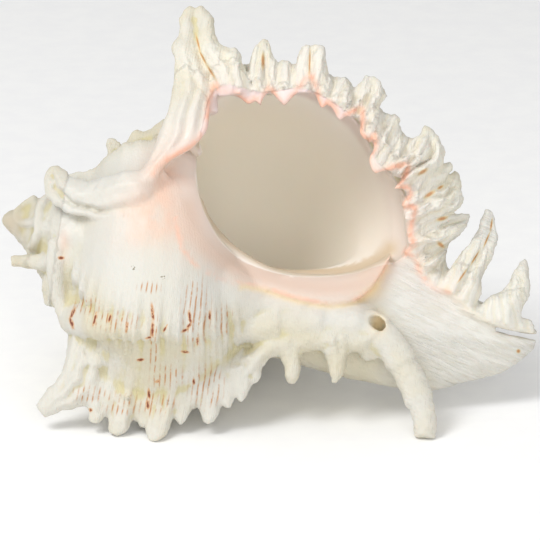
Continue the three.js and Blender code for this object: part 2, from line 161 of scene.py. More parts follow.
# %% Tubes, and one skin round many of them
def tube(rings):
    """Rings (rings, points, 3) to vertices and triangles: two triangles between neighbours,
    and a fan to the middle of each end ring. Turned if its volume comes out negative."""
    n, m = rings.shape[:2]
    i, j = np.meshgrid(np.arange(n - 1), np.arange(m), indexing="ij")
    a, b = (i * m + j).ravel(), (i * m + (j + 1) % m).ravel()
    k = np.arange(m)
    ends = np.array([rings[0].mean(0), rings[-1].mean(0)])
    first = np.stack([(k + 1) % m, k, np.full(m, n * m)], -1)
    last = np.stack([k, (k + 1) % m, np.full(m, n * m + 1)], -1) + [(n - 1) * m, (n - 1) * m, 0]
    faces = np.concatenate([np.stack([a, b, b + m], -1), np.stack([a, b + m, a + m], -1), first, last])
    verts = np.concatenate([rings.reshape(-1, 3), ends])
    p, q, r = verts[faces].transpose(1, 0, 2)
    if np.einsum("ij,ij->", p, np.cross(q, r)) < 0:
        faces = faces[:, ::-1]
    return verts, faces


def mesh_object(name, verts, faces):
    """A Blender object from arrays of vertices and of equal-sided faces."""
    mesh = bpy.data.meshes.new(name)
    sides = faces.shape[1]
    mesh.vertices.add(len(verts))
    mesh.vertices.foreach_set("co", verts.astype(np.float32).ravel())
    mesh.loops.add(faces.size)
    mesh.loops.foreach_set("vertex_index", faces.astype(np.int32).ravel())
    mesh.polygons.add(len(faces))
    mesh.polygons.foreach_set("loop_start", np.arange(0, faces.size, sides, dtype=np.int32))
    mesh.update(calc_edges=True)
    made = bpy.data.objects.new(name, mesh)
    bpy.context.scene.collection.objects.link(made)
    return made


def arrays_of(made):
    """The vertices and triangles of an object with its modifiers applied, and the object gone."""
    bpy.context.view_layer.update()
    mesh = bpy.data.meshes.new_from_object(made.evaluated_get(bpy.context.evaluated_depsgraph_get()))
    bpy.data.objects.remove(made)
    mesh.calc_loop_triangles()
    verts = np.empty(len(mesh.vertices) * 3, np.float32)
    mesh.vertices.foreach_get("co", verts)
    faces = np.empty(len(mesh.loop_triangles) * 3, np.int32)
    mesh.loop_triangles.foreach_get("vertices", faces)
    bpy.data.meshes.remove(mesh)
    return verts.reshape(-1, 3).astype(float), faces.reshape(-1, 3)


def joined(parts):
    """Many (vertices, triangles) pairs as one pair, each part's numbers moved past the last."""
    starts = np.cumsum([0] + [len(v) for v, _ in parts[:-1]])
    faces = [f + start for (_, f), start in zip(parts, starts)]
    return np.concatenate([v for v, _ in parts]), np.concatenate(faces)


def skin(parts, voxel):
    """One skin round all the parts, drawn on a grid of voxels of this size."""
    made = mesh_object("lumps", *joined(parts))
    remesh = made.modifiers.new("skin", "REMESH")
    remesh.mode = "VOXEL"
    remesh.voxel_size = voxel
    return arrays_of(made)


def carved(body, hollow):
    """The first skin with the room of the second taken out of it."""
    made, tool = mesh_object("body", *body), mesh_object("hollow", *hollow)
    cut = made.modifiers.new("cut", "BOOLEAN")
    cut.operation, cut.solver, cut.object = "DIFFERENCE", "MANIFOLD", tool
    result = arrays_of(made)
    bpy.data.objects.remove(tool)
    return result


VOXEL = 0.62
print("voxel:", VOXEL, "mm")

# %% [markdown]
# ## The whorls
#
# The snail's tube grows round the axis, and each new turn covers most of the last one. One
# outline, half egg and half shoulder, makes all of it. Where the animal paused it left a
# varix, and between two varices a low rib, so the outline swells at those turns. A rib is
# steep on the young side and fades out on the old one, as the photograph shows under the
# brown bars. Three overlapping stretches of tube are simpler than one that runs inside itself.
# They leave the middle open round the axis, so a thin rod fills it.

# %% The whorls
WHORL_SECTION = [
    (33, 14), (39, 27), (48, 43.5), (57, 56), (67, 63), (80, 66.5),
    (93, 66), (104, 62), (114, 54.5), (123, 43.5), (131, 31), (140, 20),
]  # at turn 0: along the axis from the apex, and out from it
AXIS_CORE = 1.5
PILLAR = [(28, 0.8), (45, 2.2), (80, 3.4), (110, 3.4), (128, 2.0)]  # along the axis, radius
VARIX_TURNS = (-22, 100, 204, 330, 452, 572, 690)
VARIX_SWELL, VARIX_SPREAD = 0.1, 10
SPIRE_SWELL, SPIRE_SPREAD, SPIRE_FROM = 0.24, 7, 340  # the older varices stand out more
RIB_TURNS = (45, 240, 392, 512, 630)
RIB_SWELL, RIB_YOUNG_SPREAD, RIB_OLD_SPREAD = 0.09, 7, 15
FLAT_TURN, FLAT_DEPTH, FLAT_SPREAD = 155, 0.12, 25
LAST_WHORL_END = 338  # a turn past it is the lip's, counted as a negative one
STRETCHES = [
    (-15, LAST_WHORL_END, 1, 2.0), (333, 693, 0.99, 2.0), (689, 1300, 0.98, 5.0),
]  # first turn, last turn, size and step; the frill stands before the first one


def flatness(turn):
    """One less a bell round the turn where the shell lies over the floor."""
    return 1 - FLAT_DEPTH * hump(turn - FLAT_TURN, FLAT_SPREAD)


def swell(turn):
    """The flatness, plus a bell at each varix, plus a lopsided bell at each rib."""
    factor = flatness(turn)
    for varix in VARIX_TURNS:
        spire = varix > SPIRE_FROM
        height, spread = (SPIRE_SWELL, SPIRE_SPREAD) if spire else (VARIX_SWELL, VARIX_SPREAD)
        factor = factor + height * hump(turn - varix, spread)
    for rib in RIB_TURNS:
        spread = np.where(turn > rib, RIB_OLD_SPREAD, RIB_YOUNG_SPREAD)
        factor = factor + RIB_SWELL * hump(turn - rib, spread)
    return factor


def whorl(first, last, share, step):
    """A tube over (turn, place on the outline): the outline times the growth at that turn, its
    radius also times the swell."""
    outline = even_path(WHORL_SECTION, 90)
    turn = np.arange(first, last + step, step)[:, None]
    z = np.concatenate([outline[:, 0], [WHORL_SECTION[-1][0], WHORL_SECTION[0][0]]])[None]
    r = outline[:, 1][None] * swell(turn) * growth(turn) * share
    core = np.full((len(turn), 2), AXIS_CORE) * growth(turn)
    return tube(coil_point(z * growth(turn), np.concatenate([r, core], 1), turn))


def pillar():
    """Circles round the axis, from end to end of the rod."""
    z, r = smooth_path(PILLAR, 40)[:, :, None].transpose(1, 0, 2)
    return tube(coil_point(z, r, np.arange(0, 360, 15)[None]))


whorls = [whorl(*stretch) for stretch in STRETCHES]
print("whorls:", sum(len(f) for _, f in whorls), "triangles")

# %% [markdown]
# ## The lip
#
# The edge of the mouth is a ruffle. Its pink crest runs out into the groove of each spine and
# comes back inwards between two spines. One smooth line follows the lip; the crest's measured
# zigzag is kept as its distance from that line. Both the hollow and the frill need this line.

# %% The lip line and its crest
LIP_LINE = [
    (-36.5, 84, 2), (-32.5, 91.5, 2), (-25, 98.5, 3), (-19.5, 108.5, 4), (-12.5, 113, 8),
    (-2.5, 113.5, 10), (10, 113.5, 9), (21.5, 109.5, 8), (30.5, 103, 8), (37.5, 94, 9),
    (43.5, 86.5, 13), (46.5, 77.5, 14), (47.5, 67.5, 12), (50.5, 56.5, 9), (59, 47.5, 5),
    (70, 39, 4), (80.5, 35.5, 3), (87.5, 33.5, 2),
]  # across, up, how far the frill reaches beyond
CREST = seen(
    (156, 176), (160, 169), (168, 163), (180, 156), (191, 150), (200, 141), (207, 130), (209, 112),
    (212, 96), (216, 87), (222, 94), (232, 95), (240, 98), (249, 105), (256, 101), (261, 107), (264, 97),
    (270, 92), (277, 99), (284, 106), (291, 100), (298, 91), (304, 84), (308, 79), (313, 84),
    (318, 102), (322, 110), (327, 105), (333, 110), (339, 121), (346, 117), (353, 113), (360, 111),
    (361, 124), (360, 134), (368, 142), (373, 137), (374, 150), (369, 160), (374, 173), (384, 171),
    (396, 167), (406, 166), (403, 178), (394, 190), (405, 188), (409, 195), (402, 206), (413, 208),
    (411, 222), (409, 234), (412, 243), (405, 253), (413, 258), (421, 275), (433, 288), (447, 292),
)
LIP_STATIONS = 520
LIP_ENDS = [
    (-45, -39), (-38, -38), (-30, -34), (-22, -29), (-12, -23), (38, -3), (50, -7), (56, -8.5),
    (70, -9), (80, -6.5), (90, -3.5),
]  # across, and how near the ends of the lip come


def lip_frame(count):
    """Points, outward directions and reaches at even steps along the lip. Outward is the
    tangent turned a quarter turn to the left."""
    path = even_path(LIP_LINE, count)
    slope = np.gradient(path[:, :2], axis=0)
    slope /= np.linalg.norm(slope, axis=1, keepdims=True)
    return path[:, :2], np.stack([-slope[:, 1], slope[:, 0]], -1), path[:, 2]


def above_axis(x, up):
    """How far a point of the picture is above the axis, measured across it."""
    return (x - APEX[0]) * math.sin(AXIS_TILT) + (up - APEX[2]) * math.cos(AXIS_TILT)


def lip_away(x, up):
    """The lip lies in the half plane of its turn, height above the axis times its tangent, but
    at both ends it comes nearer, on to the whorl and on to the canal."""
    plane = math.tan(math.radians(LIP_TURN)) * np.maximum(above_axis(x, up), 4)
    return np.minimum(plane, np.interp(x, *zip(*LIP_ENDS)))


lip_points, lip_out, lip_reach = lip_frame(LIP_STATIONS)
crest_line = even_path(CREST, 400)
nearest = np.argmin(np.linalg.norm(crest_line[:, None] - lip_points[None], axis=2), axis=1)
offsets = np.einsum("ij,ij->i", crest_line - lip_points[nearest], lip_out[nearest])
order = np.argsort(nearest, kind="stable")
crest_offset = np.interp(np.arange(LIP_STATIONS), nearest[order], offsets[order])
crest_offset *= 1 - ease(np.arange(LIP_STATIONS), nearest.max(), nearest.max() + 25)
print("crest swings:", round(crest_offset.min(), 1), "to", round(crest_offset.max(), 1), "mm")

# %% [markdown]
# ## The mouth
#
# The hollow is the room that the snail lived in. Its outline is a rounder one inside the
# whorl's, carried round the same coil, a little smaller once it is past the lip so that the
# wall is thick enough. In front it opens straight towards the viewer. It is built as a solid
# of its own, to be taken out of the whorls.

# %% The mouth's hollow
MOUTH_SECTION = [
    (56, 37), (62, 22), (74, 11), (88, 5), (101, 4.5), (116, 9), (125.5, 16),
    (128, 24), (124, 36), (114.5, 47.5), (101, 57), (86, 61.5), (69, 59.5), (60, 51.5),
]
MOUTH_MIDDLE = np.array([92.0, 34.0])
MOUTH_END_TURN, MOUTH_FRONT, WALL_SHARE, WALL_TURN = 265, -60, 0.08, 36
OPENING = seen(
    (199, 162), (198, 178), (202, 200), (210, 221), (222, 241), (240, 258), (262, 268), (285, 274),
    (306, 276), (335, 275), (358, 271), (376, 265), (394, 262), (407, 250), (411, 232), (409, 212),
    (401, 192), (388, 175), (374, 162), (366, 143), (356, 124), (338, 110), (320, 99), (300, 92),
    (282, 94), (262, 96), (240, 91), (222, 90), (211, 103), (206, 123), (201, 142),
)  # the mouth's edge as the viewer sees it, the notch's side first
OPENING_MIDDLE = seen((300, 185))[0]
MOUTH_RING = 120


def mouth_share(turn):
    """The hollow's size about its middle: 1 at the lip, and WALL_SHARE less from WALL_TURN on."""
    return 1 - WALL_SHARE * np.clip(turn / WALL_TURN, 0, 1)


def mouth_ring(turn, share):
    """The hollow's outline at a turn: about its middle times the share, then times the growth."""
    outline = even_path(MOUTH_SECTION, MOUTH_RING, closed=True)
    z, r = ((outline - MOUTH_MIDDLE) * share + MOUTH_MIDDLE).T
    return coil_point(z * growth(turn), r * growth(turn) * flatness(turn), turn)


def reach_of(outline, middle, direction):
    """How far a closed outline reaches from its middle in each direction: its own directions
    and lengths, interpolated."""
    out = outline - middle
    own = np.arctan2(out[:, 1], out[:, 0])
    order = np.argsort(own)
    return np.interp(direction, own[order], np.linalg.norm(out, axis=1)[order], period=2 * np.pi)


def opening_ring():
    """The opening's outline, point for point in the directions of the hollow's first ring."""
    first = mouth_ring(0, 1)[:, [0, 2]] - OPENING_MIDDLE
    direction = np.arctan2(first[:, 1], first[:, 0])
    reach = reach_of(even_path(OPENING, 400, closed=True), OPENING_MIDDLE, direction)
    x, up = (OPENING_MIDDLE + reach[:, None] * np.stack([np.cos(direction), np.sin(direction)], -1)).T
    return np.stack([x, np.minimum(lip_away(x, up) + 2, -6), up], -1)


edge_ring = opening_ring()
front_ring = edge_ring * [1, 0, 1] + [0, MOUTH_FRONT, 0]
share = np.linspace(0, 1, 16)[:, None, None]
to_edge = front_ring * (1 - share) + edge_ring * share
to_whorl = edge_ring * (1 - share) + mouth_ring(0, 1) * share
bend = edge_ring * (1 - share**1.6) + mouth_ring(0, 1) * share**1.6
to_whorl[..., [0, 2]] = bend[..., [0, 2]]
turns = np.arange(3, MOUTH_END_TURN, 3)
round_axis = np.stack([mouth_ring(t, mouth_share(t)) for t in turns])
mouth = tube(np.concatenate([to_edge[:-1], to_whorl, round_axis]))
print("mouth:", len(mouth[1]), "triangles")

# %% [markdown]
# ## Canal, callus and plate
#
# Below the mouth the shell is drawn out into a canal for the snail's breathing tube. It is a
# flattened cone, cut by a narrow slit. The pink plate is glaze that the animal laid over the
# axis; its free edge stands off the shell. Glaze also fills the dip between the whorl and the
# plate. Each is a few cross-sections with smooth curves through them.

# %% Canal, callus, plate and slit
CANAL = [
    (96, -24, 22, 19, -3), (114, -25, 22, 16, -2), (132, -25, 21, 12, -2), (150, -23.5, 13, 8.5, -1),
    (163, -17.5, 9.5, 6.5, 0), (173, -12, 7, 5, 1), (179, -6.5, 6, 4, 1.5), (182.5, -2, 4, 2.5, 2),
]  # along the axis, lower edge, upper edge, half depth, away
CALLUS = [(-36, -22, 50, 34), (-18, -19, 48, 27), (0, -16, 44, 14)]  # across, away, up, width
PLATE_INNER = seen(
    (201, 200), (210, 221), (231, 245), (270, 268), (306, 275), (348, 274), (378, 263), (390, 253),
)
PLATE_OUTER = seen(
    (177, 221), (189, 256), (219, 277), (261, 286), (300, 298), (336, 302), (366, 292), (389, 258),
)
PLATE_AWAY, PLATE_THICKNESS = -24, 5
SLIT = [(58, 49.5, 0.5), (62, 45, 0.6), (69, 39.4, 0.65), (78, 35.2, 0.75), (94, 32.6, 1.1)]
SLIT_FRONT, SLIT_FLOOR, SLIT_TIP_FLOOR = -40, -3, 14
SLIT_ROWS, SLIT_TIP_ROW = 60, 36


def canal():
    """Ellipses in the planes across the axis, squared off a little: cosine and sine to the
    power 0.85, times the half height and the half depth."""
    z, low, high, half, away = smooth_path(CANAL, 90)[:, :, None].transpose(1, 0, 2)
    a = np.linspace(0, 2 * np.pi, 64, endpoint=False)[None]
    across = np.sign(np.cos(a)) * np.abs(np.cos(a)) ** 0.85
    deep = np.sign(np.sin(a)) * np.abs(np.sin(a)) ** 0.85
    rings = coil_point(z, (low + high) / 2 + (high - low) / 2 * across, 0)
    rings[..., 1] = away + half * deep
    return tube(rings)


def plate():
    """Six lines along the plate, from its inner to its free edge and back behind it, with
    smooth curves both ways. The front comes forward as a half sine from end to end."""
    i = np.linspace(0, 1, len(PLATE_INNER))
    front = PLATE_AWAY * (0.55 + 0.45 * np.sin(np.pi * (0.1 + 0.8 * i)))
    middle = (PLATE_INNER + PLATE_OUTER) / 2

    def line(edge, deeper):
        return smooth_path(np.stack([edge[:, 0], front + deeper, edge[:, 1]], -1), 120)

    lines = [
        line(PLATE_INNER, 6), line(middle, 1.2), line(PLATE_OUTER, 0), line(PLATE_OUTER, 2),
        line(middle, 2 * PLATE_THICKNESS), line(PLATE_INNER, 4 * PLATE_THICKNESS),
    ]
    rings = np.stack(lines, 1)
    return tube(np.stack([smooth_path(ring, 36, closed=True) for ring in rings]))


def slit():
    """A thin upright wall along the slit, from before the shell to the slit's floor. Near the
    tip it goes deeper, right through the canal's end."""
    x, up, half = smooth_path(SLIT, SLIT_ROWS).T
    floor = np.where(np.arange(SLIT_ROWS) < SLIT_TIP_ROW, SLIT_FLOOR, SLIT_TIP_FLOOR)
    front = np.full(SLIT_ROWS, SLIT_FRONT)
    corners = [(front, up - half), (front, up + half), (floor, up + half), (floor, up - half)]
    return tube(np.stack([np.stack([x, away, height], -1) for away, height in corners], 1))


plates = [canal(), plate()]
print("canal and plate:", sum(len(f) for _, f in plates), "triangles")

# %% [markdown]
# ## The lip's frill
#
# Outside the crest a white frill rises to the spines, and inside it the flutes fade into the
# smooth wall of the mouth. So the frill is a profile carried along the lip line, whose crest
# moves in and out with the zigzag.

# %% The frill
def frill():
    """Rings of (outward, deeper) across the lip. The crest follows crest_offset, and is
    nearer the viewer where it comes inwards. Flutes of the same rhythm fade to the outer
    edge, and finer folds wander along it."""
    along = np.arange(LIP_STATIONS)[:, None] * 0.4
    away = lip_away(lip_points[:, :1], lip_points[:, 1:])
    swing, reach = crest_offset[:, None], lip_reach[:, None]
    fold = 0.6 * wander(along, 3, 1.9) + 0.35 * wander(along, 8, 4.1)
    flute = 0.34 * swing + fold
    rows = [
        (0.25 * swing + 0.4, 10.5), (0.5 * swing - 0.3, 6), (0.8 * swing - 0.8, 2.6),
        (swing - 0.8, 0.3 + 0.25 * swing), (swing + 0.1, -0.9 + 0.3 * swing),
        (swing + 1.3, -0.6 + 0.3 * swing), (0.3 * reach + 0.7 * swing + 1, 0.8 + flute),
        (0.65 * reach + 0.3 * swing, 2.4 + flute), (reach + 0.5 * fold, 2.6 + 0.3 * reach + 0.5 * flute),
        (reach + 0.4 + 0.5 * fold, 4 + 0.3 * reach), (reach - 0.8, 6 + 0.3 * reach),
        (0.6 * reach + 1, 10), (4.5, 13.5), (2.4, 13.5),
    ]
    rings = []
    for outward, deeper in rows:
        place = lip_points + lip_out * np.broadcast_to(outward, swing.shape)
        rings.append(np.stack([place[:, 0], (away + deeper)[:, 0], place[:, 1]], -1))
    across = smooth_path(np.stack(rings), 48, closed=True)
    return tube(across.transpose(1, 0, 2))


lip_frill = frill()
print("frill:", len(lip_frill[1]), "triangles")

# %% [markdown]
# ## Spines
#
# A spine is a fold of the shell's edge, so those of the lip are grooved: two rims with a slit
# between them. The older ones below show their rounded backs. Each is measured by its left and
# its right edge in the photograph, and the space between the edges is filled with a profile,
# grooved or round, that gets thinner towards the tip. Folds run along the front, bent by an
# uneven wave, and another uneven wave makes small nicks along the edges.

# %% One spine
BACK_SHARE = np.linspace(1, 0, 14)[1:-1]


def blade(left, right, away, thick, groove=None, ribs=5, fold=0.2, nicks=0.25, seed=0, rows=70):
    """Rows from root to tip between two edges. Across the front, the height is the root of a
    half sine, less a bell at the groove, plus sines for coarse folds and fine ones that die out
    at the edges, all times the half thickness. The back is a plain arch. The edges move in and
    out by an uneven wave that grows to the tip, where two smaller rings round it off."""
    left, right = even_path(left, rows), even_path(right, rows)
    t = np.linspace(0, 1, rows)[:, None]
    width = np.linalg.norm(right - left, axis=1, keepdims=True)
    side = (right - left) / np.maximum(width, 0.1)
    left = left - side * nicks * (0.3 + t) * wander(t * 14, seed)
    right = right + side * nicks * (0.3 + t) * wander(t * 14, seed + 5)
    front_share = np.linspace(0, 1, 34)[None]
    half = np.minimum(smooth_path(np.array(thick, float)[:, None], rows) / 2, 0.42 * width + 0.2)
    arch = np.sqrt(np.maximum(np.sin(np.pi * front_share), 0))
    height = arch.copy() * np.ones_like(t)
    if groove is not None:
        place = smooth_path(np.array(groove, float)[:, None], rows)
        near = np.maximum(0.8 / np.maximum(width, 1), 0.05)
        height = height * (1 - 1.1 * hump(front_share - place, near))
    lines = np.sin(2 * np.pi * ribs * front_share + 1.5 * wander(t * 5, seed + 2))
    fine = np.sin(2 * np.pi * (2.6 * ribs + 1) * front_share + 2.5 * wander(t * 4, seed + 3))
    height = height + (fold * lines + 0.07 * fine) * arch
    back = np.sqrt(np.sin(np.pi * BACK_SHARE))[None] * np.ones_like(t)
    share = np.concatenate([front_share[0], BACK_SHARE])[None, :, None]
    place = left[:, None] * (1 - share) + right[:, None] * share
    depth = smooth_path(np.array(away, float)[:, None], rows)
    deep = depth + half * np.concatenate([-height, back], 1)
    rings = np.stack([place[..., 0], deep, place[..., 1]], -1)
    last, ahead = rings[-1].mean(0), rings[-1].mean(0) - rings[-3].mean(0)
    shrink, push = np.array([[0.65, 0.3], [0.21, 0.35]])[..., None, None]
    return tube(np.concatenate([rings, last + (rings[-1] - last) * shrink + ahead * push]))


def lip_blade(left, right, thick=(7, 6, 5, 3), lean=0.22, **more):
    """A blade whose root lies in the lip's half plane and whose tip leans away, by a share of
    its length."""
    root = (np.asarray(left[0]) + np.asarray(right[0])) / 2
    tip = (np.asarray(left[-1]) + np.asarray(right[-1])) / 2
    start = float(lip_away(*root)) + 1.8
    reach = float(np.linalg.norm(tip - root)) * lean
    return blade(left, right, [start, start + reach * 0.4, start + reach], thick, **more)


# %% Spines of the lip
shoulder_left = blade(
    seen(
        (132, 190), (147, 168), (158, 143), (167, 120), (173, 100), (175, 82),
        (175, 62), (173, 47), (180, 39), (181, 24), (185, 13), (190, 9),
    ),
    seen(
        (160, 182), (170, 166), (189, 152), (203, 140), (208, 125), (210, 107),
        (214, 90), (207, 72), (202, 60), (198, 45), (196, 28), (194, 11),
    ),
    [-35, -32, -28, -25, -21, -18, -15], (6, 8, 9, 9, 8, 7, 4.5), ribs=3, nicks=0.45, seed=1, rows=110,
)
shoulder_right = blade(
    seen((219, 100), (214, 84), (208, 70), (203, 59), (199.5, 45), (197.5, 28), (195.5, 12)),
    seen((248, 96), (249, 80), (244, 68), (238, 57), (226, 50), (219, 42), (216, 27), (211, 16), (204, 8)),
    [-25, -24, -21, -18, -15], (6, 8, 8, 7, 4.5), ribs=3, nicks=0.6, seed=15, rows=90,
)
second_spine = lip_blade(
    seen((240, 96), (245, 80), (250, 66), (257, 48), (262, 42)),
    seen((280, 94), (283, 78), (277, 65), (273, 54), (268, 42)),
    groove=(0.6, 0.52, 0.5, 0.48), ribs=3, nicks=0.45, seed=2,
)
square_spine = lip_blade(
    seen((286, 96), (292, 78), (297, 64), (299, 53), (302, 48)),
    seen((338, 96), (330, 80), (325, 66), (325, 55), (320, 50)),
    groove=(0.5, 0.5, 0.52, 0.5), ribs=3, nicks=0.35, seed=3,
)
small_spine = lip_blade(
    seen((328, 104), (333, 88), (339, 82)), seen((354, 108), (346, 94), (343, 83)), ribs=2, seed=4,
)
frayed_spine = lip_blade(
    seen((346, 118), (350, 98), (359, 86), (366, 77)), seen((380, 128), (379, 110), (386, 98), (380, 84)),
    groove=(0.4, 0.45, 0.5), ribs=3, fold=0.5, nicks=1.1, seed=5, thick=(9, 8, 6, 3),
)
low_frayed_spine = lip_blade(
    seen((364, 138), (374, 124), (383, 116), (391, 116)),
    seen((392, 152), (388, 140), (394, 130), (397, 119)),
    groove=(0.5, 0.5, 0.5), ribs=3, fold=0.5, nicks=0.9, seed=6, thick=(9, 8, 6, 3),
)
web_spine = lip_blade(
    seen((376, 166), (386, 156), (400, 150), (411, 142), (420, 132), (423, 126)),
    seen((410, 184), (428, 172), (440, 165), (444, 154), (438, 141), (431, 130)),
    groove=(0.62, 0.66, 0.6, 0.5), ribs=4, fold=0.5, nicks=0.9, seed=7, thick=(10, 10, 8, 4),
)
thin_spine = lip_blade(
    seen((400, 182), (420, 174), (438, 166), (449, 164)),
    seen((404, 197), (426, 187), (443, 178), (452, 170)),
    ribs=2, nicks=0.6, seed=8, thick=(6, 5, 4, 2.5),
)
slot_spine = lip_blade(
    seen((400, 198), (424, 189), (444, 178), (457, 170)),
    seen((404, 226), (436, 216), (461, 207), (460, 188)),
    groove=(0.45, 0.42, 0.4), ribs=4, fold=0.55, nicks=1.0, seed=9, thick=(11, 10, 8, 3),
)
low_slot_spine = lip_blade(
    seen((404, 224), (430, 217), (454, 214), (470, 211)),
    seen((408, 252), (436, 247), (457, 238), (468, 222)),
    groove=(0.45, 0.4, 0.35), ribs=3, fold=0.5, nicks=0.8, seed=10, thick=(11, 10, 7, 3),
)
stub_spine = lip_blade(
    seen((414, 244), (428, 240), (441, 243)), seen((424, 274), (438, 268), (447, 256)),
    groove=(0.4, 0.42, 0.45), ribs=3, fold=0.5, nicks=0.6, seed=11, thick=(10, 9, 5),
)
tall_spine = lip_blade(
    seen((438, 284), (448, 268), (460, 254), (472, 239), (480, 224), (486, 209)),
    seen((474, 308), (481, 294), (481, 278), (490, 262), (498, 240), (494, 215)),
    thick=(8, 8, 7, 6, 4), groove=(0.5, 0.55, 0.56, 0.6, 0.58), ribs=2, fold=0.1, nicks=0.5, seed=12,
)
last_spine = lip_blade(
    seen((474, 312), (486, 298), (499, 292), (510, 280), (517, 266), (523, 258)),
    seen((518, 330), (521, 312), (529, 297), (531, 283), (529, 270), (527, 260)),
    thick=(8, 8, 7, 6, 4), ribs=2, fold=0.1, nicks=0.4, seed=13,
)
canal_lobe = lip_blade(
    seen((492, 316), (508, 318), (523, 318), (531, 321)),
    seen((496, 330), (510, 333), (524, 335), (534, 333)),
    thick=(6, 6, 5, 3.5), ribs=2, nicks=0.3, seed=14,
)
lip_spines = [
    shoulder_left, shoulder_right, second_spine, square_spine, small_spine, frayed_spine,
    low_frayed_spine, web_spine, thin_spine, slot_spine, low_slot_spine, stub_spine, tall_spine,
    last_spine, canal_lobe,
]
print("lip spines:", len(lip_spines), "with", sum(len(f) for _, f in lip_spines), "triangles")

# %% [markdown]
# ## The lower varix
#
# The shell rests on an older varix. Its spines turn their rounded backs to the viewer, and a
# web joins their roots. The web is thick where it leaves the whorl and thin at its edge, so it
# is a wedge-shaped profile carried along the measured valley line.

# %% The web and its spines
LOWER_AWAY = -19.0
LOWER_EDGE = [
    (66, 380, 14), (76, 398, 16), (90, 403, 18), (108, 412, 18), (122, 413, 18), (137, 417, 17),
    (147, 416, 17), (160, 413, 17), (174, 414, 17), (186, 408, 17), (197, 403, 17), (210, 402, 17),
    (222, 400, 17), (234, 394, 16), (246, 380, 16), (254, 370, 15), (263, 360, 14), (276, 354, 14),
    (292, 352, 14), (310, 350, 14), (330, 348, 14), (350, 350, 12), (364, 350, 10),
]  # photo pixels, and how far the inner side is above the edge in mm
WIDE, LOW, RAGGED = {"thick": (12, 11, 8, 5), "nicks": 0.6}, {"thick": (8, 6, 4, 3)}, {"nicks": 0.6}
LOWER_SPINES = [
    ([(75, 335), (67, 360), (58, 379), (47, 392), (39, 403)],
     [(104, 375), (98, 395), (84, 405), (68, 409), (48, 415)], -19, WIDE),
    ([(84, 385), (89, 402), (91, 420)], [(114, 390), (110, 408), (101, 422)], -21, {}),
    ([(106, 392), (111, 410), (110, 427), (116, 433)],
     [(142, 396), (133, 418), (130, 428), (121, 434)], -22, {}),
    ([(133, 400), (137, 413), (142, 424)], [(155, 398), (150, 414), (147, 424)], -21, {}),
    ([(147, 395), (149, 418), (148, 432), (153, 439)],
     [(180, 392), (172, 417), (170, 428), (163, 436)], -25.5, {"thick": (11, 9, 7, 5), "nicks": 0.6}),
    ([(169, 394), (174, 412), (180, 423)], [(198, 390), (191, 408), (185, 422)], -22, {}),
    ([(193, 386), (199, 404), (203, 418), (208, 424)],
     [(227, 382), (222, 403), (218, 417), (212, 422)], -23, {}),
    ([(212, 378), (219, 396), (226, 406)], [(240, 375), (236, 394), (231, 406)], -22, {}),
    ([(222, 368), (234, 388), (239, 400)], [(247, 362), (253, 382), (244, 400)], -22, RAGGED),
    ([(238, 358), (247, 372), (253, 381)], [(260, 350), (262, 368), (259, 382)], -20, {}),
    ([(252, 350), (258, 358), (262, 364)], [(270, 345), (269, 355), (266, 363)], -20, LOW),
    ([(274, 340), (282, 360), (285, 374), (288, 383)],
     [(306, 338), (301, 360), (300, 372), (294, 382)], -20, {}),
    ([(316, 338), (325, 358), (328, 373), (332, 383)],
     [(352, 335), (346, 358), (344, 371), (337, 381)], -20, {}),
    ([(348, 338), (356, 350), (363, 359)], [(382, 340), (380, 352), (372, 360)], -18, LOW),
]  # left and right edge in photo pixels, the tip's depth in mm, and what is special


def lower_web():
    """Seven lines, from the edge up the front to the whorl and back down behind."""
    edge = np.array(LOWER_EDGE, float)
    x, z = seen(*edge[:, :2]).T
    inner = edge[:, 2]
    lines = [
        (x, LOWER_AWAY - 2.2, z + 0.3), (x + 0.1 * inner, LOWER_AWAY - 4.4, z + 0.28 * inner),
        (x + 0.25 * inner, LOWER_AWAY - 3, z + 0.62 * inner), (x + 0.4 * inner, LOWER_AWAY + 2, z + inner),
        (x + 0.4 * inner, LOWER_AWAY + 14, z + inner), (x + 0.2 * inner, LOWER_AWAY + 8, z + 0.4 * inner),
        (x, LOWER_AWAY + 1.2, z),
    ]
    rows = [smooth_path(np.stack(np.broadcast_arrays(*line), -1), 200) for line in lines]
    return tube(smooth_path(np.stack(rows), 40, closed=True).transpose(1, 0, 2))


def lower_blade(left, right, tip, thick=(11, 9, 6, 3.5), **more):
    """A rounded blade from the web's depth to a tip that is nearer the viewer."""
    away = [LOWER_AWAY, LOWER_AWAY * 0.6 + tip * 0.4, tip]
    return blade(left, right, away, thick, **{"ribs": 3, "nicks": 0.3, **more})


lower_spines = [
    lower_blade(seen(*left), seen(*right), tip, seed=21 + i, **more)
    for i, (left, right, tip, more) in enumerate(LOWER_SPINES)
]
lower_varix = [lower_web(), *lower_spines]
print("lower varix:", sum(len(f) for _, f in lower_varix), "triangles")

# %% [markdown]
# ## Horns, ridges and the old canal
#
# The other parts aren't seen edge on, so they are horns: the same grooved or round profile
# carried along a line in space, turned to face a given way. The old canal is the stump of the
# canal before this one. It keeps the steps of its growth, so its width rises and drops in
# uneven saw teeth along its length, and it is hollow where it leaves the shell.

# %% Horns
VIEWER = np.array([0.0, -1.0, 0.0])


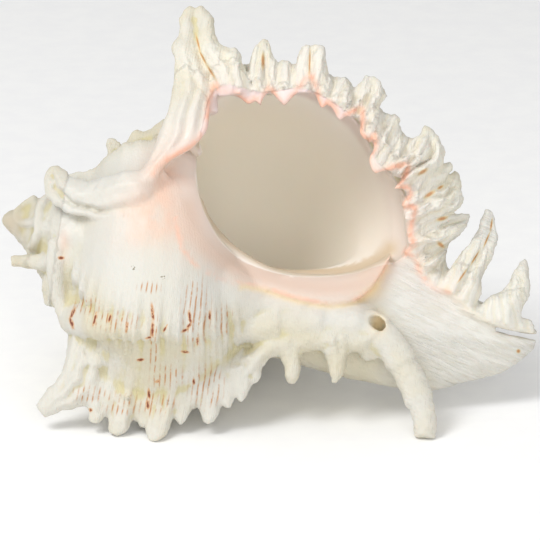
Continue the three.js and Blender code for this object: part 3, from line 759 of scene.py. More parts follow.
def horn(line, widths, depths=None, facing=VIEWER, groove=0.0, steps=0.0, knobs=0.0, seed=0, rows=80):
    """A ring at each place of the line: across is the line's direction crossed with facing.
    The front's height is the root of a half sine less the groove's bell. The size follows a
    saw tooth by steps, and an uneven wave by knobs."""
    curve = even_path(line, rows)
    t = np.linspace(0, 1, rows)[:, None]
    along = np.gradient(curve, axis=0)
    along /= np.linalg.norm(along, axis=1, keepdims=True)
    across = np.cross(along, facing)
    across /= np.linalg.norm(across, axis=1, keepdims=True)
    face = np.cross(across, along)
    width = smooth_path(np.array(widths, float)[:, None], rows)
    depth = width * 0.95 if depths is None else smooth_path(np.array(depths, float)[:, None], rows)
    phase = t * 9 + 0.35 * wander(t * 9, seed + 1)
    size = 1 + steps * (phase % 1 - 0.5) + knobs * wander(t * 16, seed)
    a = np.linspace(0, 2 * np.pi, 44, endpoint=False)[None]
    cut = 1 - groove * hump((a - np.pi / 2), 0.55)
    place_x = np.cos(a) * width / 2 * size
    place_f = np.sin(a) * cut * depth / 2 * size
    return tube(curve[:, None] + across[:, None] * place_x[..., None] + face[:, None] * place_f[..., None])


callus = horn([row[:3] for row in CALLUS], [row[3] for row in CALLUS], rows=40)
OLD_CANAL = [
    (-34, -12, 38, 8), (-6, -17, 38, 12), (8, -18, 38, 14), (22, -18, 38.5, 14), (33, -18, 37, 12),
    (39.5, -18.5, 31, 11.4), (44.5, -19.5, 23, 11), (48.2, -20.8, 15, 10.2), (50.8, -22.3, 7, 9.2),
    (50.6, -23.8, 0.6, 6.4),
]  # across, away, up, width
old_canal = horn(
    [row[:3] for row in OLD_CANAL], [row[3] for row in OLD_CANAL], steps=0.17, knobs=0.02, seed=3, rows=160,
)
old_canal_hole = horn(
    [(32.5, -33, 42), (36, -20, 37.5), (39, -15, 31)], [5.5, 4.5, 3], [8, 6, 3], seed=4, rows=30,
)
print("old canal:", len(old_canal[1]), "triangles")

# %% Shoulder and spire
shoulder_flange = blade(
    seen((170, 170), (135, 172), (110, 177), (90, 181), (76, 179), (65, 170), (56, 165)),
    seen((172, 224), (135, 217), (105, 223), (84, 217), (62, 210), (47, 194), (46, 176)),
    [-31, -34, -31, -25, -21, -17], (1, 9, 12, 11, 9, 6),
    groove=(0.9, 0.85, 0.8, 0.75, 0.6, 0.5), ribs=1, fold=0.12, nicks=0.8, seed=5,
)
notch_horn = blade(
    seen((106, 168), (109, 152), (106, 143), (108, 138)),
    seen((132, 162), (123, 147), (118, 141), (112, 138)),
    [-9, -7, -6], (9, 7, 5, 3), groove=(0.5, 0.5, 0.5), ribs=2, nicks=0.4, seed=7,
)
wide_horn = blade(
    seen((122, 165), (127, 144), (131, 135), (136, 130)),
    seen((172, 158), (158, 141), (147, 134), (139, 130)),
    [-12, -9, -8], (12, 9, 6, 3), ribs=3, nicks=0.4, seed=8,
)
shelf = horn(
    [
        (-67, -8, 43), (-64.7, -15, 40), (-61, -22, 39), (-57, -29.5, 38.5), (-52.5, -34.5, 38),
        (-47, -38, 37.5), (-41.5, -39.5, 36.8), (-36.5, -39.5, 36), (-31, -38, 36),
    ],
    [8, 10, 11, 11, 10, 9, 9, 7, 3], knobs=0.05, seed=13,
)
fillet = horn(
    [(-26, -22, 46), (-5, -17.5, 45), (12, -16, 43.5), (27, -15, 42), (33, -12, 42)],
    [13, 14, 14, 13, 9], seed=14,
)
lobe_back = horn(
    [
        (-20.7, -22.5, 107), (-21.3, -20, 119), (-22.7, -18.5, 126), (-24, -16.5, 132),
        (-24.7, -14.5, 138), (-25, -13.5, 141.5),
    ],
    [8, 7, 6, 5.5, 4.5, 2.5], seed=17, rows=40,
)
shoulder_bridge = horn(
    [(-26, -10, 101), (-37, -8, 95), (-49, -6, 88.5), (-60, -4, 82)], [16, 15, 13, 6], knobs=0.06, seed=6,
)
peg = horn(
    [(-62, -13, 58.5), (-70, -13, 58.5), (-78, -12.5, 58.5), (-85.6, -12, 58.7)],
    [11, 8, 5.4, 4], knobs=0.03, seed=9,
)
spire_knee = horn([(-63, -8, 60), (-68.5, -8.5, 52), (-71, -9, 43)], [16, 14, 8.5], knobs=0.02, seed=10)
spire_foot = horn([(-58, -8, 43), (-57.5, -13, 33), (-58, -17, 22)], [17, 18, 20], seed=16)
apex_cap = horn(
    [(-76, 0, 71.5), (-83.3, 0, 71.8), (-89.3, 0, 73)],
    [16, 16, 15.4, 12.2, 12.4, 10.4, 7.6, 6, 2.2], seed=11,
)
SPIRE_RIDGES = [
    ([(-77.7, -4.6, 80), (-81.7, -3.4, 77.4), (-84.6, -4, 74.4), (-82.9, -6, 71.6), (-77.7, -11.4, 71.3)],
     [2.8, 2.6, 2.2, 2.4, 2.4]),
    ([(-72.7, -9, 80), (-76, -10.3, 76.5), (-76.7, -12.7, 68.3), (-79.7, -9.3, 62.3)], [4, 3.4, 3.4, 3]),
    ([(-70, -19.6, 65.7), (-70.7, -19, 58.3), (-70, -16.6, 49), (-68.7, -15, 41.7)], [5, 6, 5.4, 4]),
]  # the older varices across the spire: places and widths
shoulder = [
    shoulder_flange, notch_horn, wide_horn, shelf, fillet, lobe_back, shoulder_bridge, peg,
    spire_knee, spire_foot, apex_cap, *[horn(*ridge) for ridge in SPIRE_RIDGES],
]
print("shoulder:", sum(len(f) for _, f in shoulder), "triangles")

# %% The varix behind
BACK_VARIX_TURN, BACK_TIP_TURN = 100, 107
TIP_CLEARANCE = 0.0008  # metres from a tip to the floor
BACK_SPINES = [
    (38, 26, -9, 10), (46, 16, -3, 7), (54, 25.5, 0, 9), (62, 15, 0, 6), (70, 27, 2, 9),
    (79, 18, 3, 7), (88, 27, 6, 8), (97, 20, 9, 8), (106, 24, 13, 7),
]  # along the axis, length, lean along the axis, width


def whorl_radius(z, turn):
    """The outline's radius at a place along the axis, times growth and swell."""
    section = np.array(WHORL_SECTION)
    return np.interp(z / growth(turn), section[:, 0], section[:, 1]) * growth(turn) * swell(turn)


def back_spine(z, length, lean, width, seed):
    """Root, middle and tip on the coil, grooved towards the side that grew last. A spine that
    would reach below the floor ends just above it."""
    radius = float(whorl_radius(z, BACK_VARIX_TURN))
    reach = np.linspace(5, length, 80)
    heights = stand(coil_point(np.full(80, z + lean), radius + reach, BACK_TIP_TURN))[:, 2]
    length = reach[heights > TIP_CLEARANCE].max()
    root = coil_point(z, radius - 4, BACK_VARIX_TURN)
    middle = coil_point(z + lean * 0.4, radius + length * 0.45, BACK_VARIX_TURN + 1)
    tip = coil_point(z + lean, radius + length, BACK_TIP_TURN)
    ahead = coil_point(z, radius, BACK_VARIX_TURN - 10) - coil_point(z, radius, BACK_VARIX_TURN)
    return horn(
        [root, middle, tip], [width * 1.35, width * 0.8, width * 0.35], [9, 5.5, 3],
        facing=ahead / np.linalg.norm(ahead), groove=0.75, knobs=0.08, seed=seed,
    )


def back_fin():
    """A low wall along the varix, joining the roots: its height is a half sine with scallops."""
    share = np.linspace(0, 1, 120)[:, None]
    z = 36 + 72 * share
    radius = whorl_radius(z, BACK_VARIX_TURN)
    half = np.degrees(3.5 / radius)
    top = 7 * np.sin(np.pi * (0.1 + 0.8 * share)) * (0.85 + 0.2 * np.cos(2 * np.pi * 9 * share))
    a = np.linspace(0, np.pi, 17)[None]
    turn = BACK_VARIX_TURN + half * np.cos(a) * (1.5 - np.sin(a))
    rise = -5 + (top + 5) * np.sin(a) ** 0.7
    return tube(coil_point(z, radius + rise, turn))


back_varix = [back_fin()] + [back_spine(*row, seed=40 + i) for i, row in enumerate(BACK_SPINES)]
print("back varix:", sum(len(f) for _, f in back_varix), "triangles")

# %% [markdown]
# ## One skin
#
# Now the lumps become a shell. The whorls get their hollow first, so that the frill and the
# spines can then stand over its edge without being cut. The slit and the hole of the old canal
# are cut last. Each time the voxels are redrawn, the old inner surfaces vanish.

# %% Skinning and carving
body = skin([*whorls, pillar(), plates[0], callus], VOXEL * 1.2)
body = carved(body, skin([mouth], VOXEL * 1.2))
body = skin([body, plates[1], lip_frill, *lip_spines, *lower_varix, old_canal, *shoulder, *back_varix], VOXEL)
for hollow in (slit(), old_canal_hole):
    body = carved(body, hollow)
verts, faces = skin([body], VOXEL)
print("skin:", len(verts), "vertices,", len(faces), "triangles")

# %% [markdown]
# ## Where each point lies on the coil
#
# Every point of the skin is now traced back to its place on the coil. Ridges, growth lines and
# colour then follow the way that the snail grew, with no need to draw them by hand. A point
# belongs to the outermost turn whose whorl reaches back as far as the point does.

# %% Coil places and masks
def coil_turn(z, angle):
    """The angle, plus whole turns while the point lies nearer the apex than that turn's whorl
    begins. The last stretch before the top belongs to the lip, so it is a negative turn."""
    turn = np.where(angle > LAST_WHORL_END, angle - 360, angle)
    for _ in range(4):
        turn = np.where(z < 0.97 * WHORL_SECTION[0][0] * growth(turn), turn + 360, turn)
    return turn


def share_of(outline, middle, u, v):
    """How far out a point is, as a share of the outline's reach in the same direction."""
    du, dv = u - middle[0], v - middle[1]
    return np.hypot(du, dv) / reach_of(outline, middle, np.arctan2(dv, du))


def inside_mouth(points, turn):
    """1 on the wall of the mouth. Round the axis the hollow's section tells how far out a point
    is; before the axis the opening's outline in the picture does."""
    z, r, _ = coil_place(points)
    section = even_path(MOUTH_SECTION, 200, closed=True)
    ratio = share_of(section, MOUTH_MIDDLE, z / growth(turn), r / flatness(turn) / growth(turn))
    deep = (1 - ease(ratio, 1.035, 1.07)) * (turn < MOUTH_END_TURN + 10) * (turn > -100)
    seen_ratio = share_of(even_path(OPENING, 400, closed=True), OPENING_MIDDLE, points[:, 0], points[:, 2])
    front = 1 - ease(seen_ratio, 0.99, 1.03)
    return np.where(points[:, 1] < 2, front, deep)


def edges_of(faces):
    """Each edge once, as pairs of vertex numbers."""
    pairs = np.sort(np.concatenate([faces[:, [0, 1]], faces[:, [1, 2]], faces[:, [2, 0]]]), axis=1)
    keys = np.unique(pairs[:, 0].astype(np.int64) * (faces.max() + 1) + pairs[:, 1])
    return np.stack([keys // (faces.max() + 1), keys % (faces.max() + 1)], -1)


def averaged(values, edges, rounds, keep=0.5):
    """In each round every value keeps its share and takes the rest from its neighbours' mean."""
    a, b = edges.T
    count = np.bincount(edges.ravel(), minlength=len(values))
    count = np.maximum(count, 1).reshape(-1, *[1] * (values.ndim - 1))
    for _ in range(rounds):
        total = np.zeros_like(values)
        columns = total.reshape(len(values), -1)
        flat = values.reshape(len(values), -1)
        for i in range(flat.shape[1]):
            columns[:, i] = np.bincount(a, flat[b, i], len(values)) + np.bincount(b, flat[a, i], len(values))
        values = keep * values + (1 - keep) * total / count
    return values


def normals_of(verts, faces):
    """The sum of the cross products of a vertex's triangles, made unit length."""
    p, q, r = verts[faces].transpose(1, 0, 2)
    cross = np.cross(q - p, r - p)
    total = np.stack([np.bincount(faces.ravel(), np.repeat(c, 3), len(verts)) for c in cross.T], -1)
    return total / np.maximum(np.linalg.norm(total, axis=1, keepdims=True), 1e-12)


def picture_nearest(points, line):
    """The number of the line's nearest point in the picture for each point, worked out in
    blocks, and the distance to it."""
    flat = points[:, [0, 2]]
    blocks = np.array_split(flat, max(1, len(flat) // 4000))
    nearest = np.concatenate([((b[:, None] - line[None]) ** 2).sum(-1).argmin(1) for b in blocks])
    return nearest, np.linalg.norm(flat - line[nearest], axis=1)


def picture_gap(points, line):
    """The least distance in the picture from each point to a line's points."""
    return picture_nearest(points, line)[1]


def near(points, line, width):
    """A bell of the distance in the picture from each point to a line."""
    return hump(picture_gap(points, line), width)


plate_edge = even_path(PLATE_OUTER, 150)
plate_middle = even_path((PLATE_INNER + PLATE_OUTER) / 2, 60)
RIM = seen(
    (192, 150), (200, 200), (230, 240), (270, 268), (300, 275), (350, 272), (380, 262), (395, 240),
)
rim = even_path(RIM, 120)


def glazed(points):
    """1 on the porcelain: on the plate and along the mouth's lower left rim, in front."""
    return np.maximum(near(points, plate_middle, 5), near(points, rim, 8)) * (points[:, 1] < 4)


edges = edges_of(faces)
verts = averaged(verts, edges, 2)
z, r, angle = coil_place(verts)
turn = coil_turn(z, angle)
inside = inside_mouth(verts, turn)
print("inside the mouth:", round(100 * inside.mean(), 1), "% of the vertices")

# %% [markdown]
# ## Relief
#
# Raised cords run round the shell and finer threads lie between them. Lines of growth cross
# them. Each cord ends in a spine at a varix and in a knob on a rib. The viewer's side of the
# whorl was polished with glaze, so the relief nearly dies out there. All of it is one distance
# per point, along the surface normal.

# %% Cords, threads and growth lines
CORDS = [
    (44, 0.8), (52, 0.5), (61, 1.0), (69, 0.5), (78, 1.0), (88, 0.6), (98, 1.0), (108, 0.7),
    (118, 0.9), (127, 0.6),
]  # place on the outline, height
CORD_WIDTH = 2.2
GLAZE_TURNS = (232, 258, 322, 340)
THREAD_PERIOD, KNOB_PERIOD, STREAK_PERIOD = 2.3, 5.2, 1.7


def ripple(points, size, seed):
    """Bumps of about one size: the mean of sines along nine fixed directions, each moved along
    by a phase of its own."""
    k = np.arange(9) + seed
    way = np.stack([np.sin(2.4 * k), np.sin(3.7 * k + 1), np.sin(5.1 * k + 2)], -1)
    way /= np.linalg.norm(way, axis=1, keepdims=True)
    return np.sin(points @ way.T * (2 * np.pi / size) + 1.9 * k).mean(1) * 1.7


def cord_height(place):
    """A bell at each cord's place on the outline."""
    return sum(height * hump(place - at, CORD_WIDTH) for at, height in CORDS)


def glaze_at(turn):
    """1 where the viewer's side of the whorl is polished, fading out at both turns."""
    return ease(turn, *GLAZE_TURNS[:2]) * (1 - ease(turn, *GLAZE_TURNS[2:]))


def relief_height(points, z, r, turn, inside):
    """On the whorls: cords that rise at varices and ribs, threads as a sine of the place on the
    outline, and growth lines as an uneven wave of the turn. Over them go ripples of several
    sizes, and streaks along the canal. Growth shrinks the large forms towards the apex."""
    place = z / growth(turn)
    bulge = (swell(turn) - flatness(turn)) / VARIX_SWELL
    show = (1 - 0.75 * glaze_at(turn)) * (1 - inside)
    cords = (0.75 + 0.9 * bulge) * cord_height(place + 0.5 * wander(turn * 0.12, 2))
    knobs = np.maximum(np.sin(2 * np.pi * place / KNOB_PERIOD), -0.4)
    cords = cords + 1.1 * hump(turn - RIB_TURNS[1], 14) * knobs
    threads = 0.2 * np.sin(2 * np.pi * place / THREAD_PERIOD)
    lines = 0.16 * wander(turn * 0.9 + 0.4 * wander(place, 5, 0.35), 6) + 0.1 * wander(turn * 0.35, 7)
    share = r / whorl_radius(z, turn)
    on_whorl, beyond = ease(share, 0.5, 0.9), ease(share, 1.05, 1.3)
    uneven = 0.4 * ripple(points, 17, 1) + 0.16 * ripple(points, 7, 2)
    rough = (0.04 + 0.12 * beyond) * (ripple(points, 3.4, 3) + 0.5 * ripple(points, 2.1, 4))
    on_canal = ease(place, 128, 142) * (1 - inside)
    rise = r * np.cos(np.radians(turn))
    lengthwise = 0.07 * np.sin(2 * np.pi * rise / STREAK_PERIOD + 2 * wander(z, 4, 0.07))
    streaks = on_canal * (lengthwise + 0.16 * ripple(points, 6, 5))
    shell_part = on_whorl * (1 - beyond) * (1 - on_canal) * (cords + threads + lines)
    large = growth(turn) ** 0.7 * show * (shell_part + uneven)
    return (1 - 0.9 * glazed(points)) * (large + (1 - inside) * (rough + streaks))


relief = relief_height(verts, z, r, turn, inside)
verts = verts + normals_of(verts, faces) * relief[:, None]
print("relief:", round(relief.min(), 2), "to", round(relief.max(), 2), "mm")

# %% [markdown]
# ## Fewer triangles, and the floor
#
# A file that others load must stay light, so the Decimate modifier takes triangles away where
# the surface is flat and keeps them along ridges. The shell stands on the worn ends of its
# lowest spines: in the standing frame, nothing goes below the floor.

# %% The finished shape
TRIANGLES = 190_000
made = mesh_object("fine", verts, faces)
decimate = made.modifiers.new("lighter", "DECIMATE")
decimate.ratio = min(1.0, TRIANGLES / len(faces))
verts, faces = arrays_of(made)
edges = edges_of(faces)
standing = stand(verts)
standing[:, 2] = np.maximum(standing[:, 2], 0)
print("shell:", len(faces), "triangles, lowest", round(standing[:, 2].min() * 1000, 2), "mm")

# %% [markdown]
# ## What the colour follows
#
# The finish needs to know where it is: on the crest of the lip, on the glaze, deep in a fold.
# Each such fact is worked out for every vertex and stored on the mesh as an attribute that the
# material can read. Distances to a line in the picture are the least over the line's points.
# What was measured in the photograph is kept to the surface that faces the viewer, so that it
# doesn't show through on the back.

# %% Which way each point looks
def patch(points, middle, size):
    """A soft spot in the picture, on the viewer's side: a bell of the distance from its middle,
    measured in its own half width and half height."""
    x, up = seen(middle)[0]
    u = (points[:, 0] - x) * PIXELS_PER_MM / size[0]
    v = (points[:, 2] - up) * PIXELS_PER_MM / size[1]
    return np.exp(-(u**2 + v**2)) * (points[:, 1] < 6)


z, _, angle = coil_place(verts)
turn = coil_turn(z, angle)
normals = normals_of(verts, faces)
facing = ease(-normals[:, 1], -0.15, 0.3)
to_middle = np.stack([OPENING_MIDDLE[0] - verts[:, 0], OPENING_MIDDLE[1] - verts[:, 2]], -1)
inwards = (normals[:, [0, 2]] * to_middle).sum(1) / np.maximum(np.linalg.norm(to_middle, axis=1), 1)
looks_in = np.maximum(facing, ease(inwards, -0.2, 0.15))
inside = inside_mouth(verts, turn) * np.where(verts[:, 1] < 2, looks_in, 1)
# How far the mean of the nearby points lies along the normal: high in hollows and folds, where the material
# paints a yellow-green shade.
cavity = averaged(verts, edges, 6, 0.0) - verts
cavity = averaged((cavity * normals).sum(1), edges, 2)
print("facing the viewer:", round(100 * (facing > 0.5).mean(), 1), "% of the vertices")

# %% Places along the lip
PLEAT_SLANT = 0.45  # how much the pleats of the right side climb for each mm outwards
PLEATS_START, PLEATS_SLANTED = (75, 100), (180, 260)  # stations of the lip
lip_depth = verts[:, 1] - lip_away(verts[:, 0], verts[:, 2])
edge_gap = picture_gap(verts, crest_line)
station, _ = picture_nearest(verts, lip_points)
from_lip = verts[:, [0, 2]] - lip_points[station]
outward = (from_lip * lip_out[station]).sum(1)
lip_tangent = np.stack([lip_out[:, 1], -lip_out[:, 0]], -1)
lip_step = np.linalg.norm(np.diff(lip_points, axis=0), axis=1).mean()
along = station * lip_step + (from_lip * lip_tangent[station]).sum(1)
pleat_place = along + PLEAT_SLANT * outward * ease(station, *PLEATS_SLANTED)
past_crest = ease(outward - crest_offset[station], -0.3, 1.5) * (1 - ease(outward, 16, 26))
ruffle = past_crest * ease(station, *PLEATS_START)
print("lip step:", round(lip_step, 2), "mm")

# %% Attributes for the finish
PEACH = [
    ((172, 182), (24, 26), 1), ((152, 222), (34, 22), 0.95), ((185, 235), (18, 26), 0.35),
    ((67, 247), (5, 14), 0.6), ((12, 225), (12, 14), 0.15),
]  # middle and half size in photo pixels, and strength
front = verts[:, 1] < -8
crest = hump(edge_gap, 0.95) * (1 - ease(lip_depth, 3, 7)) * facing
crest = np.maximum(crest, 0.7 * near(verts, plate_edge, 0.7) * front * facing)
# A painted shadow line just under the plate's free edge.
shadow_under_plate = near(verts, plate_edge - [0, 1.1], 0.9) * (np.abs(verts[:, 1] + 14) < 14)
slit_line = smooth_path(np.array(SLIT)[:, :2], 80)
old_canal_line = even_path(np.array(OLD_CANAL)[3:, [0, 2]], 60)
canal_front = ease(verts[:, 0], 30, 44) * ease(z, 126, 136) * (1 - inside) * (1 - ruffle)
# Tan painted shade: in the trough right of the plate's tip, in the old canal's hole, under the plate's free
# edge and along the slit.
tan_shade_parts = [
    patch(verts, (369, 287), (13, 13)) * (1 - near(verts, plate_middle, 3.5)),
    patch(verts, (377, 322), (8, 10)), 0.75 * shadow_under_plate, near(verts, slit_line, 1.3) * (verts[:, 1] < 10),
]
peach_parts = [share * patch(verts, middle, size) for middle, size, share in PEACH]
facts = {
    "place": z / growth(turn),
    "turn": turn / 100,
    "inside": inside,
    "facing": facing * (verts[:, 1] < 6),
    "hollow": np.clip(cavity / 0.5, -1, 1),
    "glaze": glaze_at(turn),
    "crest": crest,
    "collar": near(verts, rim, 8) * (verts[:, 1] < 6) * facing,
    "band": hump(edge_gap, 8) * (1 - ease(lip_depth, 12, 26)),
    "plate": near(verts, plate_middle, 4.2) * front * facing,
    # Where the tan painted shade goes inside the mouth, just behind the plate.
    "ledge shade": inside * near(verts, even_path(PLATE_INNER, 60) + [0, 1.5], 2.6) * (verts[:, 1] < 4),
    "canal": canal_front * (1 - near(verts, old_canal_line, 6)),
    "pleat place": pleat_place,
    "ruffle": ruffle * facing * (1 - ease(lip_depth, 8, 14)),
    "tan": np.clip(sum(tan_shade_parts), 0, 1),
    "peach": np.clip(sum(peach_parts), 0, 1),
}
for name, values in facts.items():
    print(name, "goes from", round(float(values.min()), 2), "to", round(float(values.max()), 2))

# %% The shell as an object
shell = mesh_object("murex_shell", standing, faces)
shell.data.shade_smooth()
for name, values in facts.items():
    shell.data.attributes.new(name, "FLOAT", "POINT").data.foreach_set("value", values.astype(np.float32))
picture = np.stack([verts[:, 0], verts[:, 2], verts[:, 1]], -1).astype(np.float32)
shell.data.attributes.new("picture", "FLOAT_VECTOR", "POINT").data.foreach_set("vector", picture.ravel())
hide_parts("shell")
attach(shell, "root")
print("attributes:", [a.name for a in shell.data.attributes if not a.is_internal])

# %% [markdown]
# ## The finish
#
# Shell is chalky outside and like porcelain where it was glazed. One shader does both: it mixes
# colours and roughness by the attributes, so each change of finish sits where the snail made
# it. A few small helpers keep the node tree readable: each adds one node and gives back its
# output, and anything passed in is either a number or another output.

# %% Helpers for a node tree
def paint(red, green, blue):
    """A screen colour from 0 to 255 as the linear light that a shader wants."""
    c = np.array([red, green, blue]) / 255
    return (*np.where(c <= 0.04045, c / 12.92, ((c + 0.055) / 1.055) ** 2.4), 1.0)


def add_node(tree, kind, inputs=None, output=0, **settings):
    """One node with its settings and inputs; gives back one of its outputs."""
    node = tree.nodes.new("ShaderNode" + kind)
    for key, value in settings.items():
        setattr(node, key, value)
    for key, value in (inputs or {}).items():
        if isinstance(value, bpy.types.NodeSocket):
            tree.links.new(value, node.inputs[key])
        else:
            node.inputs[key].default_value = value
    return node.outputs[output]


def fact(tree, name):
    """One of the numbers stored on the mesh."""
    return add_node(tree, "Attribute", output="Fac", attribute_name=name)


def calc(tree, operation, a, b=0.0):
    """One sum of two numbers."""
    return add_node(tree, "Math", {0: a, 1: b}, operation=operation)


def times(tree, a, b):
    """One number times another."""
    return calc(tree, "MULTIPLY", a, b)


def plus(tree, a, b):
    """One number plus another."""
    return calc(tree, "ADD", a, b)


def sine(tree, value, period):
    """A sine of a number, with this period."""
    return calc(tree, "SINE", times(tree, value, 2 * math.pi / period))


def fade(tree, value, low, high, to_low=0.0, to_high=1.0):
    """A smooth step from one number to another while value goes from low to high."""
    inputs = {"Value": value, 1: low, 2: high, 3: to_low, 4: to_high}
    return add_node(tree, "MapRange", inputs, interpolation_type="SMOOTHSTEP")


def blend(tree, factor, a, b):
    """Two colours mixed by a factor."""
    node = tree.nodes.new("ShaderNodeMix")
    node.data_type = "RGBA"
    for key, value in ((0, factor), (6, a), (7, b)):
        if isinstance(value, bpy.types.NodeSocket):
            tree.links.new(value, node.inputs[key])
        else:
            node.inputs[key].default_value = value
    return node.outputs[2]


def speckle(tree, vector, scale, detail=3.0, rough=0.55):
    """Fractal noise from 0 to 1, about a half on average."""
    inputs = {"Vector": vector, "Scale": scale, "Detail": detail, "Roughness": rough}
    return add_node(tree, "TexNoise", inputs)


print("white of the shell in linear light:", [round(v, 3) for v in paint(240, 240, 230)[:3]])

# %% [markdown]
# ## Brown marks
#
# The brown on this shell is of two kinds. Short dark bars sit on the knobs of the rib, and
# bundles of hair-thin lines run round the shell with the cords. Orange gathers in the slots of
# the spines, and two specks of dirt are left. A bar, a slot or a speck is an oval spot in the
# picture; a line is a narrow band of the place on the outline. All are worked out for each
# pixel by the shader, so they stay sharp at any mesh size.

# %% One mark as a group of nodes
def mark_group():
    """The mask of an oval spot: e to the minus of the squared distance from its middle, where
    across and up are turned by a tilt and divided by the half sizes."""
    tree = bpy.data.node_groups.new("Mark", "ShaderNodeTree")
    face = tree.interface
    face.new_socket("Picture", in_out="INPUT", socket_type="NodeSocketVector")
    for name in ("Across", "Up", "Half width", "Half height", "Tilt"):
        face.new_socket(name, in_out="INPUT", socket_type="NodeSocketFloat")
    face.new_socket("Mask", in_out="OUTPUT", socket_type="NodeSocketFloat")
    given = tree.nodes.new("NodeGroupInput").outputs
    parts = tree.nodes.new("ShaderNodeSeparateXYZ")
    tree.links.new(given["Picture"], parts.inputs[0])
    dx = calc(tree, "SUBTRACT", parts.outputs[0], given["Across"])
    dz = calc(tree, "SUBTRACT", parts.outputs[1], given["Up"])
    cos_tilt, sin_tilt = calc(tree, "COSINE", given["Tilt"]), calc(tree, "SINE", given["Tilt"])
    along = plus(tree, times(tree, dx, cos_tilt), times(tree, dz, sin_tilt))
    above = calc(tree, "SUBTRACT", times(tree, dz, cos_tilt), times(tree, dx, sin_tilt))
    u = calc(tree, "DIVIDE", along, given["Half width"])
    v = calc(tree, "DIVIDE", above, given["Half height"])
    square = plus(tree, times(tree, u, u), times(tree, v, v))
    spot = calc(tree, "EXPONENT", times(tree, square, -1.0))
    done = tree.nodes.new("NodeGroupOutput")
    tree.links.new(spot, done.inputs["Mask"])
    return tree


MARK = mark_group()


def mark(tree, vector, middle, size, tilt):
    """One spot, from its middle and half sizes in photo pixels and its tilt in degrees."""
    x, up = seen(middle)[0]
    node = tree.nodes.new("ShaderNodeGroup")
    node.node_tree = MARK
    tree.links.new(vector, node.inputs["Picture"])
    values = (x, up, size[0] / PIXELS_PER_MM, size[1] / PIXELS_PER_MM, math.radians(tilt))
    for name, value in zip(("Across", "Up", "Half width", "Half height", "Tilt"), values):
        node.inputs[name].default_value = float(value)
    return node.outputs[0]


def most(tree, values):
    """The greatest of several numbers."""
    result = values[0]
    for value in values[1:]:
        result = calc(tree, "MAXIMUM", result, value)
    return result


print("mark group:", len(MARK.nodes), "nodes")

# %% The marks of this shell
BARS = [
    ((76, 312), (2.0, 6.5), -24), ((75, 322), (2.0, 6.5), 18), ((99, 318), (1.5, 7), -14),
    ((114, 317), (1.3, 4), -16), ((131, 326), (1.2, 5), -12), ((156, 312), (1.5, 9), 6),
    ((156, 327), (1.7, 9), -3), ((152, 336), (3.4, 1.3), 14), ((168, 327), (1.1, 4.5), -30),
    ((192, 316), (1.6, 7), 10), ((191, 325), (1.8, 5), -28), ((187, 329), (3.8, 1.5), 26),
    ((211, 315), (1.3, 5), 0), ((143, 358), (3.6, 1.6), 6), ((187, 350), (4, 1.5), -8),
    ((160, 379), (3, 1.5), 20), ((93, 408), (2, 2), 0), ((64, 258), (3, 1.8), 0),
    ((151, 392), (1.6, 5), 4), ((150, 402), (2, 5), -4), ((195, 380), (1.4, 3), 0),
    ((199, 340), (1.3, 4), 0),
]  # middle and half size in photo pixels, and tilt in degrees
SLOTS = [
    ((199, 46), (9, 1.0), -76), ((204, 61), (8, 1.0), -63), ((212, 75), (8, 1.1), -58),
    ((309, 66), (13, 0.9), 88), ((263, 64), (8, 1.6), 90), ((421, 173), (5.5, 1.9), 30),
    ((428, 195), (6, 2.0), 33), ((439, 188), (3.4, 1.4), 30), ((441, 219), (5.6, 1.9), 14),
    ((440, 245), (4.6, 2.0), -35), ((461, 276), (8, 1.0), 55), ((474, 258), (8, 0.9), 58),
    ((486, 240), (8, 0.9), 66), ((491, 225), (6, 1.0), 80), ((518, 351), (2, 2), 0),
]
SPECKS = [((137, 268), (2.4, 3), 30), ((166, 277), (2.8, 2.4), 0)]
HAIR_PATCHES = [
    ((198, 312), (15, 36), 0), ((157, 345), (6, 40), 0), ((120, 320), (26, 10), 0),
    ((125, 402), (20, 12), 0), ((151, 400), (6, 14), 0), ((165, 402), (14, 10), 0),
    ((208, 385), (18, 22), 0), ((153, 287), (12, 6), 0), ((92, 305), (16, 9), 0),
    ((225, 320), (9, 16), 0), ((170, 375), (18, 12), 0), ((92, 392), (18, 8), 0),
]
HAIR_PERIOD = 2.5  # along the outline, between two hair lines


def brown_marks(tree, picture_vector, place):
    """Four masks: bars and specks with edges broken by noise, plain slots, and hair lines. A
    hair line is the top of a sine of the place, broken up by noise and kept to its patches."""
    def spots(marks):
        return most(tree, [mark(tree, picture_vector, *row) for row in marks])

    facing = fact(tree, "facing")
    uneven = fade(tree, speckle(tree, picture_vector, 0.8, 2), 0.3, 0.6, 0.55, 1.25)
    bars = times(tree, times(tree, spots(BARS), uneven), facing)
    slots = times(tree, spots(SLOTS), facing)
    gritty = fade(tree, speckle(tree, picture_vector, 1.6, 2), 0.42, 0.62)
    specks = times(tree, spots(SPECKS), gritty)
    shifted = plus(tree, place, times(tree, speckle(tree, picture_vector, 0.09, 1), 2.2))
    lines = fade(tree, sine(tree, shifted, HAIR_PERIOD), 0.3, 0.95)
    broken = fade(tree, speckle(tree, picture_vector, 0.35, 3), 0.34, 0.6)
    kept = fade(tree, spots(HAIR_PATCHES), 0.15, 0.7)
    hair = times(tree, times(tree, times(tree, lines, broken), kept), facing)
    return bars, slots, specks, hair


print(len(BARS), "bars,", len(SLOTS), "slots and", len(HAIR_PATCHES), "patches of hair lines")
